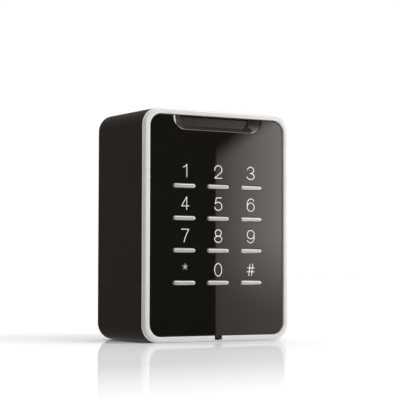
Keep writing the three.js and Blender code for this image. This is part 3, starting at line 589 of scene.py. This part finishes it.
def wound_copper(name, colour, centre_z, half, half_height):
    """Flat turns of enamelled wire that follow the coil's four sides."""
    finish, tree, main, where = shader_base(name, 0.28, metallic=1.0, coat=0.4)
    split = node(tree, "ShaderNodeSeparateXYZ")
    tree.links.new(where, split.inputs["Vector"])
    across = sums(tree, "SUBTRACT", sums(tree, "ABSOLUTE", split.outputs["X"]), half * MM)
    level = sums(tree, "SUBTRACT", split.outputs["Z"], centre_z * MM)
    along = sums(tree, "SUBTRACT", sums(tree, "ABSOLUTE", level), half_height * MM)
    inward = sums(tree, "MAXIMUM", across, along)
    turns = sums(tree, "SINE", sums(tree, "MULTIPLY", inward, 2 * math.pi / (0.25 * MM)))
    shown = spread(tree, turns, 0.0, 1.0, start=-0.9, end=0.4)
    tint = blend(tree, shown, shade(colour, 0.25), colour)
    tree.links.new(tint, main.inputs["Base Color"])
    bump(tree, main, turns, 0.05 * MM)
    return finish


def glowing_lens(name, colour, roughness=0.2):
    """Milky lens with a faint cloud in its tone."""
    finish, tree, main, where = shader_base(name, roughness, coat=0.3)
    main.inputs["Subsurface Weight"].default_value = 0.25
    main.inputs["Subsurface Scale"].default_value = 0.5 * MM
    cloud = noise(tree, where, 900.0)
    tint = blend(tree, cloud, shade(colour, 0.8), shade(colour, 1.1))
    tree.links.new(tint, main.inputs["Base Color"])
    bump(tree, main, cloud, 0.004 * MM)
    return finish


def sleeved(name, colour, stripe, centre_x, radius):
    """Shrink sleeve of a capacitor with a pale stripe down one side."""
    finish, tree, main, where = shader_base(name, 0.32, coat=0.2)
    split = node(tree, "ShaderNodeSeparateXYZ")
    tree.links.new(where, split.inputs["Vector"])
    side = sums(tree, "SUBTRACT", split.outputs["X"], centre_x * MM)
    striped = spread(tree, side, 0.0, 1.0, start=0.72 * radius * MM, end=0.76 * radius * MM)
    base = blend(tree, noise(tree, where, 400.0), shade(colour, 0.8), shade(colour, 1.3))
    tree.links.new(blend(tree, striped, base, stripe), main.inputs["Base Color"])
    bump(tree, main, noise(tree, where, 700.0), 0.01 * MM)
    return finish


def dress(names, finish, edge=0.0):
    """Gives CAD nodes a finish, smooth shading between their sharp edges and a fine edge break."""
    for name in names:
        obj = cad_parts[name]
        obj.data.materials.clear()
        obj.data.materials.append(finish)
        join = obj.modifiers.new("one_skin", "WELD")
        join.merge_threshold = 0.0005 * MM
        if edge:
            broken = obj.modifiers.new("edge_break", "BEVEL")
            broken.width, broken.segments = edge * MM, 2
            broken.limit_method, broken.angle_limit = "ANGLE", math.radians(EDGE_ANGLE)
            broken.use_clamp_overlap = True
        smooth = obj.modifiers.new("even_shading", "WEIGHTED_NORMAL")
        smooth.mode, smooth.weight, smooth.keep_sharp = "FACE_AREA", 60, True


# ---------------------------------------------------------------- symbols, as strokes in mm
# Each symbol is drawn twice SYMBOL_TOP high between its lines' middles, about its own centre.
def symbol_strokes():
    top, side = SYMBOL_TOP, SYMBOL_SIDE
    six = [
        arc(0.0, -0.86, side, 0, 360, 40),
        arc(0.12, 0.35, side + 0.12, 38, 180, 22, top - 0.35) + [(-side, -0.2), (-side, -0.86)],
    ]
    return {
        "1": [
            [(-0.95, 1.42), (-0.25, 1.66), (0.35, 2.08), (0.72, top)],
            [(0.72, top), (0.72, -top)],
        ],
        "2": [
            arc(0.0, top - side, side, 188, -22, 26)
            + [(0.95, -0.55), (0.0, -1.25), (-0.95, -1.9), (-1.5, -2.35), (-side, -top)],
            [(-side, -top), (side, -top)],
        ],
        "3": [
            arc(-0.05, 1.27, 1.58, 172, -90, 28, 1.35),
            arc(-0.05, -1.35, 1.8, 90, -172, 28, 1.27),
            [(-0.35, -0.08), (-0.05, -0.08)],
        ],
        "4": [[(0.72, top), (-side, -1.12), (1.85, -1.12)], [(0.72, top), (0.72, -top)]],
        "5": [
            [(1.5, top), (-1.0, top), (-1.48, 0.1)],
            [(-1.48, 0.1)] + arc(0.0, -0.92, side, 136, -168, 32, 1.7),
        ],
        "6": six,
        "7": [
            [(-side, top), (side, top)],
            [(side, top), (0.75, 0.85), (0.0, -0.95), (-0.5, -top)],
        ],
        "8": [
            arc(0.0, 1.3, 1.48, 0, 360, 36, 1.32),
            arc(0.0, -1.32, side, 0, 360, 40, 1.3),
        ],
        "9": [[(-x, -z) for x, z in stroke] for stroke in six],
        "0": [arc(0.0, 0.0, side, 0, 360, 44, top)],
        "star": [
            [(0.0, 1.2), (1.25 * math.cos(a), 1.2 + 1.25 * math.sin(a))]
            for a in (math.radians(90 + 72 * k) for k in range(5))
        ],
        "hash": [
            [(-0.95, -2.4), (-0.35, 2.45)], [(0.45, -2.4), (1.05, 2.45)],
            [(-1.7, 0.85), (1.8, 0.85)], [(-1.8, -0.8), (1.7, -0.8)],
        ],
    }


def stroke_meshes(points, width, front, back):
    """Short round-ended bars along a line of points, to be joined into one stroke."""
    made = []
    for (x0, z0), (x1, z1) in zip(points, points[1:]):
        turn = math.degrees(math.atan2(z1 - z0, x1 - x0))
        outline = (
            arc(x1, z1, width / 2, turn - 90, turn + 90, 6)
            + arc(x0, z0, width / 2, turn + 90, turn + 270, 6)
        )
        made.append(slab(outline, front, back))
    return made


# ---------------------------------------------------------------- operators
class ReaderPiece:
    """What the operators share: each makes its pieces and says it is done."""

    bl_options = {"REGISTER", "UNDO"}

    def execute(self, context):
        self.make(context.scene.reader_sizes, context.scene.reader_colours)
        return {"FINISHED"}


class READER_OT_housing(ReaderPiece, bpy.types.Operator):
    """Deep rear housing with its wall slots and cable recess"""

    bl_idname = "reader.housing"
    bl_label = "Rear housing"

    def make(self, sizes, colours):
        edge = rounding(sizes.housing_edge / MM)
        lip = rounding(0.2, 4)
        shell = skin(
            [(case_outline(draw), SEAM + down) for draw, down in lip]
            + [(case_outline(draw), BACK - down) for draw, down in reversed(edge)]
        )
        wall_front = BACK - BACK_WALL
        hollow = slab(case_outline(HOUSING_WALL), SEAM - EPS, wall_front)
        rim_seat = slab(case_outline(RIM_LIP), SEAM - EPS, GASKET[1].y + SEAT_GAP)
        grooves = snaps(HALF_WIDTH - HOUSING_WALL, SNAP_GROOVE)
        slots = [MID_Z - WALL_SLOT_RISE, MID_Z + WALL_SLOT_RISE]
        pad_front = wall_front - WALL_PAD_THICK
        pads = [slab(pill(0, z, *WALL_PAD), pad_front, wall_front + SINK) for z in slots]
        openings = [self.wall_slot(z, pad_front - EPS) for z in slots]
        hole = disc(0, MID_Z, GROMMET_RADII["neck"] + SIDE_GAP, wall_front - EPS, BACK + EPS)
        radius = GROMMET_RADII["flange"] + SIDE_GAP
        steps = [(0.0, GROMMET_RECESS), *RECESS_MOUTH, (RECESS_MOUTH[-1][0], -EPS)]
        recess = skin([(circle(0, MID_Z, radius + grow), BACK - deep) for grow, deep in steps])
        low, high = millimetres("tamper_plunger")
        post = disc(
            (low.x + high.x) / 2, (low.z + high.z) / 2, TAMPER_POST_RADIUS,
            high.y + SEAT_GAP, wall_front + SINK, 32,
        )
        body = worked([shell], [hollow, rim_seat, *grooves])
        body = worked([body, *pads, post], [*openings, hole, recess])
        finish = moulded(
            "housing_plastic", colours.housing, 0.64, grain=2300.0, depth=0.010, specular=0.06,
        )
        tint_gloss(finish, (1.0, 0.82, 0.68))
        piece("housing_shell", body, BODY, finish, ["rear_housing"])

    def wall_slot(self, z, front):
        """The cut for a wall slot, from its front to a softened mouth in the back."""
        grown, deep = SLOT_MOUTH[-1]
        mouth = [(0.0, front)] + [(grow, BACK - deep + down) for grow, down in SLOT_MOUTH]
        return skin([
            (pill(0, z, *(size + 2 * grow for size in WALL_SLOT)), depth)
            for grow, depth in mouth + [(grown, BACK + EPS)]
        ])


class READER_OT_frame(ReaderPiece, bpy.types.Operator):
    """Satin silver front frame with its notch"""

    bl_idname = "reader.front_frame"
    bl_label = "Front frame"

    def make(self, sizes, colours):
        back = FRAME[1].y
        radius, groove = sizes.frame_edge / MM, sizes.frame_groove / MM
        edge = [(case_outline(draw), down) for draw, down in rounding(radius, 10)]
        side = [
            (case_outline(groove), radius + groove * 0.8),
            (case_outline(groove), radius + groove * 1.4),
            (case_outline(0.0), radius + groove * 2.4),
            (case_outline(0.0), back - 0.1),
            (case_outline(0.1), back),
        ]
        ring = skin(edge + side)
        chamfer = 0.35
        mouth = [
            (-chamfer - 0.1, -EPS), (-chamfer - 0.1, 0.0), (-chamfer * 0.86, 0.05),
            (-0.06, chamfer * 0.82), (0.0, chamfer + 0.1), (0.0, back + EPS),
        ]
        window = skin([(opening_outline(draw), depth) for draw, depth in mouth])
        seat = slab(case_outline(FRAME_POCKET_WALL), FRAME_LIP, back + EPS)
        top = FRAME_END_BAND + EPS
        half = NOTCH_WIDTH / 2

        def notch_outline(grow):
            return rounded_rect(half + grow, NOTCH_FLOOR - grow, top + 1.0, 0.45 + grow, 8)

        notch = skin([
            (notch_outline(0.12), -EPS), (notch_outline(0.12), 0.0), (notch_outline(0.03), 0.06),
            (notch_outline(0.0), 0.16), (notch_outline(0.0), back + EPS),
        ])
        body = worked([ring], [window, seat, notch])
        finish = satin_silver("satin_silver", colours.trim, 0.36, 0.0, 0.8)
        piece("frame_ring", body, BODY, finish, ["front_frame"])


class READER_OT_panel(ReaderPiece, bpy.types.Operator):
    """Gloss black front panel with its scoop and key slots"""

    bl_idname = "reader.front_panel"
    bl_label = "Front panel"

    def make(self, sizes, colours):
        rim = 0.25
        field = [
            (opening_outline(SIDE_GAP + draw), PANEL_FACE + down)
            for draw, down in rounding(rim, 5)
        ]
        plate = skin(field + [(opening_outline(SIDE_GAP), FLANGE_FRONT + SINK)])
        flange = slab(case_outline(FRAME_POCKET_WALL + SIDE_GAP), FLANGE_FRONT, FRAME[1].y)
        skirt_draw = HOUSING_WALL + SEAT_GAP
        inner = slab(case_outline(skirt_draw), FRAME[1].y - SINK, PANEL_BACK)
        skirt_back = PANEL[1].y - 0.25
        skirt = worked(
            [slab(case_outline(skirt_draw), PANEL_BACK - SINK, skirt_back)],
            [slab(case_outline(skirt_draw + SKIRT_WALL), PANEL_BACK, skirt_back + EPS)],
        )
        half, bottom = SCOOP_OUTER["half"] + BOSS_MARGIN, SCOOP_OUTER["bottom"] - BOSS_MARGIN
        boss = slab(
            rounded_rect(half, bottom, TOP_Z - skirt_draw, 1.0, 8), PANEL_BACK - SINK, BOSS_BACK,
        )
        posts, pilots = [], []
        for x, z in self.post_places():
            posts.append(disc(x, z, POST_RADIUS, PANEL_BACK - SINK, PANEL[1].y, 32))
            pilots.append(disc(x, z, SCREW_PILOT, PANEL[1].y - PILOT_DEPTH, PANEL[1].y + EPS, 24))
        ribs = snaps(HALF_WIDTH - skirt_draw, SNAP_RIB)
        body = worked(
            [plate, flange, inner, skirt, boss, *posts, *ribs],
            [*self.scoop(sizes.scoop_rim), *self.key_slots(), *pilots],
        )
        finish = gloss_black("gloss_black", colours.panel)
        panel = piece("panel_face", body, BODY, finish, ["front_panel"], sharp=40.0)
        panel.data.materials.append(smoked("scoop_satin", colours.window, 0.08, 1.0))
        for face in panel.data.polygons:
            at = face.center / MM
            inside = abs(at.x) < SCOOP_OUTER["half"] and at.z > SCOOP_OUTER["bottom"]
            wall = PANEL_FACE + 0.02, BOSS_BACK - 0.1
            if inside and wall[0] < at.y - FRONT_Y / MM < wall[1]:
                face.material_index = 1

    def post_places(self):
        heights = [BOARD[0].z + POST_EDGE, BOARD[1].z - POST_DROP]
        return [(side * (BOARD[1].x - POST_EDGE), z) for side in (-1, 1) for z in heights]

    def scoop(self, soft):
        """The cuts for the scoop with its soft rim, its floor and the window's pocket."""

        def slope(share):
            return PANEL_FACE + SCOOP_DEPTH * share

        def turn(start, corner, end, steps=6):
            found = []
            for k in range(steps + 1):
                t = k / steps
                found.append(tuple(
                    (1 - t) ** 2 * a + 2 * t * (1 - t) * b + t ** 2 * c
                    for a, b, c in zip(start, corner, end)
                ))
            return found

        rim = turn((-soft, PANEL_FACE), (0.0, PANEL_FACE), (soft, slope(soft)))
        lip = turn(
            (1 - 0.6 * soft, slope(1 - 0.6 * soft)), (1.0, slope(1.0)),
            (1.0, slope(1.0) + 0.6 * FLOOR_LAND), 5,
        )
        path = [(-soft, PANEL_FACE - EPS)] + rim + lip + [(1.0, slope(1.0) + FLOOR_LAND + 0.2)]
        bowl = skin([(scoop_outline(share), depth) for share, depth in path])
        pocket = slab(
            rounded_rect(WINDOW_POCKET_HALF, *WINDOW_POCKET_Z, 0.8, 8),
            slope(1.0) + FLOOR_LAND, BOSS_BACK + EPS,
        )
        return [bowl, pocket]

    def key_slots(self):
        made = []
        for low, high in KEY_BOXES.values():
            x, z = (low.x + high.x) / 2, (low.z + high.z) / 2
            play = [
                (0.12, PANEL_FACE - EPS), (0.12, PANEL_FACE), (0.035, PANEL_FACE + 0.035),
                (0.0, PANEL_FACE + 0.12), (0.0, PANEL_BACK + EPS),
            ]
            made.append(skin([
                (pill(x, z, KEY_LENGTH + 2 * (SLOT_PLAY + g), KEY_WIDTH + 2 * (SLOT_PLAY + g)), d)
                for g, d in play
            ]))
        return made


class READER_OT_window(ReaderPiece, bpy.types.Operator):
    """Smoked status window behind the scoop's floor"""

    bl_idname = "reader.status_window"
    bl_label = "Status window"

    def make(self, sizes, colours):
        low, high = WINDOW

        def outline(draw):
            return rounded_rect(high.x - draw, low.z + draw, high.z - draw, 0.6, 8)

        edge = [(outline(draw), low.y + down) for draw, down in rounding(0.2, 4)]
        back = [(outline(draw), high.y - down) for draw, down in reversed(rounding(0.1, 3))]
        finish = smoked("smoked_plastic", colours.window)
        piece("window_lens", skin(edge + back), BODY, finish, ["status_window"])


class READER_OT_keys(ReaderPiece, bpy.types.Operator):
    """Twelve silver key bars, each on its own slide"""

    bl_idname = "reader.keys"
    bl_label = "Key bars"

    def make(self, sizes, colours):
        finish = satin_silver("key_silver", colours.keys, 0.15, 0.42, 0.6)
        for label, (low, high) in KEY_BOXES.items():
            x, z = (low.x + high.x) / 2, (low.z + high.z) / 2
            crown = [
                (pill(x, z, KEY_LENGTH - 2 * draw, KEY_WIDTH - 2 * draw), low.y + down)
                for draw, down in rounding(sizes.key_crown / MM, 7)
            ]
            root = high.y - FOOT_THICK + SINK
            bar = skin(crown + [(pill(x, z, KEY_LENGTH, KEY_WIDTH), root)])
            length, width = KEY_LENGTH + 2 * FOOT_MARGIN, KEY_WIDTH + 2 * FOOT_MARGIN
            foot = skin([
                (pill(x, z, length - 2 * draw, width - 2 * draw), high.y - up)
                for draw, up in (
                    (FOOT_EDGE, FOOT_THICK), (0.0, FOOT_THICK - FOOT_EDGE),
                    (0.0, FOOT_EDGE), (FOOT_EDGE, 0.0),
                )
            ])
            body = worked([bar, foot])
            name = "key_" + label
            piece("bar_" + label, body, name + "_body", finish, [name])


class READER_OT_symbols(ReaderPiece, bpy.types.Operator):
    """Numbers, star and hash printed on the panel above the key bars"""

    bl_idname = "reader.symbols"
    bl_label = "Printed symbols"

    def make(self, sizes, colours):
        finish = moulded("print_ink", colours.print, 0.45, grain=3000.0, depth=0.002, mottle=0.05)
        stroke = sizes.print_stroke / MM
        ratio = (sizes.print_height / MM - stroke) / (2 * SYMBOL_TOP)
        for index, label in enumerate(KEY_LABELS):
            low, high = KEY_BOXES[label]
            x = (low.x + high.x) / 2 + SYMBOL_SHIFT[index % 3]
            z = (low.z + high.z) / 2 + SYMBOL_RISE[index // 3]
            line = stroke * FINE_STROKES.get(label, 1.0)
            bars = []
            for points in symbol_strokes()[label]:
                placed = [(x + ratio * a, z + ratio * b) for a, b in points]
                bars += stroke_meshes(
                    placed, line, PANEL_FACE - INK_SINK, PANEL_FACE + INK_THICK,
                )
            body = worked(bars)
            piece("print_" + label, body, BODY, finish)


class READER_OT_rubber(ReaderPiece, bpy.types.Operator):
    """Cable grommet in the back wall, and the housing's gasket"""

    bl_idname = "reader.rubber"
    bl_label = "Rubber pieces"

    def make(self, sizes, colours):
        low, high = GROMMET
        finish = moulded(
            "soft_rubber", colours.rubber, 0.78, grain=1500.0, depth=0.014, specular=0.3,
        )
        flange, neck = GROMMET_RADII["flange"], GROMMET_RADII["neck"]
        groove_front = low.y + GROMMET_THICK["inner"]
        groove_back = high.y - GROMMET_THICK["outer"]

        def soft(radius, front, back, draw=0.25):
            turn = rounding(draw, 4)
            edge = [(circle(0, MID_Z, radius - d), front + down) for d, down in turn]
            end = [(circle(0, MID_Z, radius - d), back - down) for d, down in reversed(turn)]
            return skin(edge + end)

        steps = [
            (BORE_MOUTHS[0], low.y - EPS), (BORE_MOUTHS[0], low.y),
            (BORE_RADIUS, low.y + BORE_TAPER), (BORE_RADIUS, high.y - BORE_TAPER),
            (BORE_MOUTHS[1], high.y), (BORE_MOUTHS[1], high.y + EPS),
        ]
        bore = skin([(circle(0, MID_Z, radius), depth) for radius, depth in steps])
        floor = high.y - CREASE_DEPTH
        creases = [
            worked(
                [disc(0, MID_Z, radius + CREASE_HALF, floor, high.y + EPS)],
                [disc(0, MID_Z, radius - CREASE_HALF, floor - EPS, high.y + 2 * EPS)],
            )
            for radius in CREASE_RADII
        ]
        body = worked(
            [
                soft(flange, groove_back, high.y), soft(flange, low.y, groove_front),
                disc(0, MID_Z, neck, groove_front - SINK, groove_back + SINK),
            ],
            [bore, *creases],
        )
        piece("grommet_ring", body, BODY, finish, ["cable_grommet"])
        dress(["housing_gasket"], finish)


class READER_OT_keypad_layers(ReaderPiece, bpy.types.Operator):
    """Keypad mat, boards, antenna coil, carrier, light guide and status lamps"""

    bl_idname = "reader.keypad_layers"
    bl_label = "Keypad layers"

    def make(self, sizes, colours):
        mat = moulded("mat_silicone", colours.silicone, 0.6, grain=1200.0, depth=0.01)
        main = mat.node_tree.nodes["Principled BSDF"]
        main.inputs["Subsurface Weight"].default_value = 0.2
        main.inputs["Subsurface Scale"].default_value = MM
        dress(["keypad_mat"], mat)
        dress(["keypad_board"], circuit_board("keypad_board_mask", colours.board, 2.4), edge=0.1)
        dress(["control_board"], circuit_board("control_board_mask", colours.board, 1.7), edge=0.1)
        low, high = millimetres("antenna_coil")
        coil = wound_copper(
            "coil_copper", colours.copper, (low.z + high.z) / 2, high.x, (high.z - low.z) / 2,
        )
        dress(["antenna_coil"], coil)
        dress(["board_carrier"], moulded("carrier_plastic", colours.carrier, 0.55), edge=0.12)
        dress(["light_guide"], glowing_lens("guide_acrylic", (0.72, 0.75, 0.77)), edge=0.1)
        tones = {
            "red": (0.62, 0.05, 0.04), "green": (0.10, 0.50, 0.12), "blue": (0.06, 0.16, 0.62),
        }
        for tone, colour in tones.items():
            dress(["status_lamp_" + tone], glowing_lens("lamp_" + tone, colour, 0.12), edge=0.05)


class READER_OT_electronics(ReaderPiece, bpy.types.Operator):
    """Relay, buzzer, capacitors, chips, connectors and tamper switch on the boards"""

    bl_idname = "reader.electronics"
    bl_label = "Electronics"

    def make(self, sizes, colours):
        dark = moulded("chip_black", (0.014, 0.014, 0.016), 0.5, grain=4000.0, depth=0.006)
        dress(["microcontroller", "reader_chip"], dark, edge=0.05)
        black = moulded("connector_black", (0.010, 0.010, 0.011), 0.42, grain=2600.0, depth=0.006)
        dress(["header_socket", "pin_header", "tamper_switch"], black, edge=0.08)
        dress(["buzzer"], moulded("buzzer_black", (0.013, 0.013, 0.014), 0.35), edge=0.25)
        dress(["relay"], moulded("relay_blue", colours.relay, 0.34, coat=0.1), edge=0.2)
        dress(["terminal_block"], moulded("terminal_green", colours.terminals, 0.42), edge=0.12)
        for name in ("capacitor_1", "capacitor_2"):
            low, high = millimetres(name)
            sleeve = sleeved(
                "sleeve_" + name[-1], (0.012, 0.013, 0.020), (0.55, 0.56, 0.57),
                (low.x + high.x) / 2, (high.x - low.x) / 2,
            )
            dress([name], sleeve, edge=0.2)
        plunger = moulded("plunger_nylon", (0.66, 0.63, 0.55), 0.45, grain=2000.0, depth=0.005)
        dress(["tamper_plunger"], plunger, edge=0.1)


class READER_OT_screws(ReaderPiece, bpy.types.Operator):
    """Panel screws, board screws and terminal screws"""

    bl_idname = "reader.screws"
    bl_label = "Screws"

    def make(self, sizes, colours):
        zinc = brushed("zinc_steel", (0.58, 0.59, 0.60), 0.30, (1.0, 12.0, 1.0), 900.0)
        names = [f"{kind}_screw_{k}" for kind in ("panel", "board") for k in range(1, 5)]
        dress(names + [f"terminal_screw_{k}" for k in range(1, 7)], zinc, edge=0.08)


class READER_OT_studio(ReaderPiece, bpy.types.Operator):
    """Plain pale floor, soft studio light and the camera"""

    bl_idname = "reader.studio"
    bl_label = "Studio"

    def make(self, sizes, colours):
        bpy.context.scene.view_settings.view_transform = "Standard"
        self.floor()
        self.light()
        self.camera()

    def floor(self):
        mesh = bpy.data.meshes.new("floor")
        made = bmesh.new()
        corners = [(-1, -1), (1, -1), (1, 1), (-1, 1)]
        made.faces.new([
            made.verts.new((x * FLOOR_REACH, y * FLOOR_REACH, FLOOR_LEVEL)) for x, y in corners
        ])
        made.to_mesh(mesh)
        made.free()
        floor = bpy.data.objects.new("floor", mesh)
        bpy.context.scene.collection.objects.link(floor)
        finish = bpy.data.materials.new("floor_gloss")
        finish.use_nodes = True
        tree = finish.node_tree
        tree.nodes.clear()
        matt = node(tree, "ShaderNodeBsdfDiffuse")
        matt.inputs["Color"].default_value = FLOOR_COLOUR
        shine = node(tree, "ShaderNodeBsdfGlossy")
        shine.inputs["Roughness"].default_value = FLOOR_ROUGHNESS
        mix = node(tree, "ShaderNodeMixShader")
        tree.links.new(spread(tree, axes(tree, "Object")[1], *FLOOR_GLOSS), mix.inputs["Fac"])
        out = node(tree, "ShaderNodeOutputMaterial")
        tree.links.new(matt.outputs["BSDF"], mix.inputs[1])
        tree.links.new(shine.outputs["BSDF"], mix.inputs[2])
        tree.links.new(mix.outputs["Shader"], out.inputs["Surface"])
        mesh.materials.append(finish)
        floor.visible_glossy = False

    def light(self):
        """Light from all round: bright above and behind, dark in front, with a soft card."""
        world = bpy.data.worlds.new("studio")
        bpy.context.scene.world = world
        world.use_nodes = True
        tree = world.node_tree
        tree.nodes.clear()
        x, y, z = axes(tree, "Generated")

        def ease(value, *light):
            return spread(tree, value, *light, "SMOOTHSTEP")

        def chain(how, first, *others):
            for other in others:
                first = sums(tree, how, first, other)
            return first

        behind = chain("MULTIPLY", ease(y, *BEHIND_Y), ease(x, *BEHIND_X))
        above = chain("MULTIPLY", ease(z, *ABOVE_Z), ease(x, *ABOVE_X))
        leftward = [chain("MULTIPLY", axis, share) for axis, share in zip((x, y), LEFT_FRONT)]
        side = ease(chain("ADD", *leftward), *LEFT_GLOW)
        aside = sums(tree, "ABSOLUTE", sums(tree, "SUBTRACT", x, SOFTBOX_MIDDLE))
        softbox = chain(
            "MULTIPLY", ease(z, *SOFTBOX_Z), ease(y, *SOFTBOX_Y), ease(aside, *SOFTBOX_X),
        )
        room = chain("MAXIMUM", behind, above, ROOM_GLOW, side, ease(z, *BELOW_Z), softbox)

        round_front = sums(tree, "ARCTAN2", x, sums(tree, "MULTIPLY", y, -1.0))
        turn = sums(tree, "MULTIPLY", round_front, 180 / math.pi)
        past = sums(tree, "SUBTRACT", turn, CARD_START)
        lean = sums(tree, "MINIMUM", sums(tree, "MULTIPLY", past, CARD_LEAN), CARD_MOST_LEAN)
        top = ease(sums(tree, "SUBTRACT", z, lean), *CARD_TOP)
        full = ease(z, *CARD_FULL)
        tall = chain("MULTIPLY", spread(tree, turn, *CARD_RAMP), full)
        low = chain("MULTIPLY", sums(tree, "SUBTRACT", 1.0, full), CARD_LOW)
        card = chain(
            "MULTIPLY", chain("ADD", tall, low),
            ease(turn, *CARD_END), ease(turn, *CARD_GAIN), top, ease(turn, *CARD_EDGE),
        )
        whole = chain("MAXIMUM", room, card)

        lit = node(tree, "ShaderNodeBackground")
        lit.inputs["Color"].default_value = LIGHT_COLOUR
        tree.links.new(whole, lit.inputs["Strength"])
        plain = node(tree, "ShaderNodeBackground")
        plain.inputs["Color"].default_value = (1.0, 1.0, 1.0, 1.0)
        path = node(tree, "ShaderNodeLightPath")
        mix = node(tree, "ShaderNodeMixShader")
        out = node(tree, "ShaderNodeOutputWorld")
        tree.links.new(path.outputs["Is Camera Ray"], mix.inputs["Fac"])
        tree.links.new(lit.outputs["Background"], mix.inputs[1])
        tree.links.new(plain.outputs["Background"], mix.inputs[2])
        tree.links.new(mix.outputs["Shader"], out.inputs["Surface"])

    def camera(self):
        data = bpy.data.cameras.new("camera")
        data.lens, data.sensor_width = CAMERA_LENS, CAMERA_SENSOR
        data.clip_start = 0.01
        camera = bpy.data.objects.new("camera", data)
        bpy.context.scene.collection.objects.link(camera)
        turns = ((CAMERA_TURN, "Z"), (CAMERA_TILT, "X"), (CAMERA_ROLL, "Z"))
        camera.matrix_world = Matrix.Translation(CAMERA_PLACE)
        for degrees, axis in turns:
            camera.matrix_world @= Matrix.Rotation(math.radians(degrees), 4, axis)
        bpy.context.scene.camera = camera


OPERATORS = [
    READER_OT_housing, READER_OT_frame, READER_OT_panel, READER_OT_window, READER_OT_keys,
    READER_OT_symbols, READER_OT_rubber, READER_OT_keypad_layers, READER_OT_electronics,
    READER_OT_screws, READER_OT_studio,
]


class READER_PT_pieces(bpy.types.Panel):
    """Lists the reader's pieces with their sizes and colours"""

    bl_idname = "READER_PT_pieces"
    bl_label = "Card Reader"
    bl_space_type = "VIEW_3D"
    bl_region_type = "UI"
    bl_category = "Card Reader"

    def draw(self, context):
        layout = self.layout
        for group in (context.scene.reader_sizes, context.scene.reader_colours):
            box = layout.box()
            for name in group.bl_rna.properties.keys():
                if name not in ("rna_type", "name"):
                    box.prop(group, name)
        for operator in OPERATORS:
            layout.operator(operator.bl_idname)


def register():
    for made in (ReaderSizes, ReaderColours, *OPERATORS, READER_PT_pieces):
        bpy.utils.register_class(made)
    bpy.types.Scene.reader_sizes = bpy.props.PointerProperty(type=ReaderSizes)
    bpy.types.Scene.reader_colours = bpy.props.PointerProperty(type=ReaderColours)


def unregister():
    del bpy.types.Scene.reader_sizes
    del bpy.types.Scene.reader_colours
    for made in reversed((ReaderSizes, ReaderColours, *OPERATORS, READER_PT_pieces)):
        bpy.utils.unregister_class(made)


def main():
    register()
    for operator in OPERATORS:
        group, name = operator.bl_idname.split(".")
        getattr(getattr(bpy.ops, group), name)()
    bpy.context.view_layer.update()


if __name__ == "__main__":
    main()
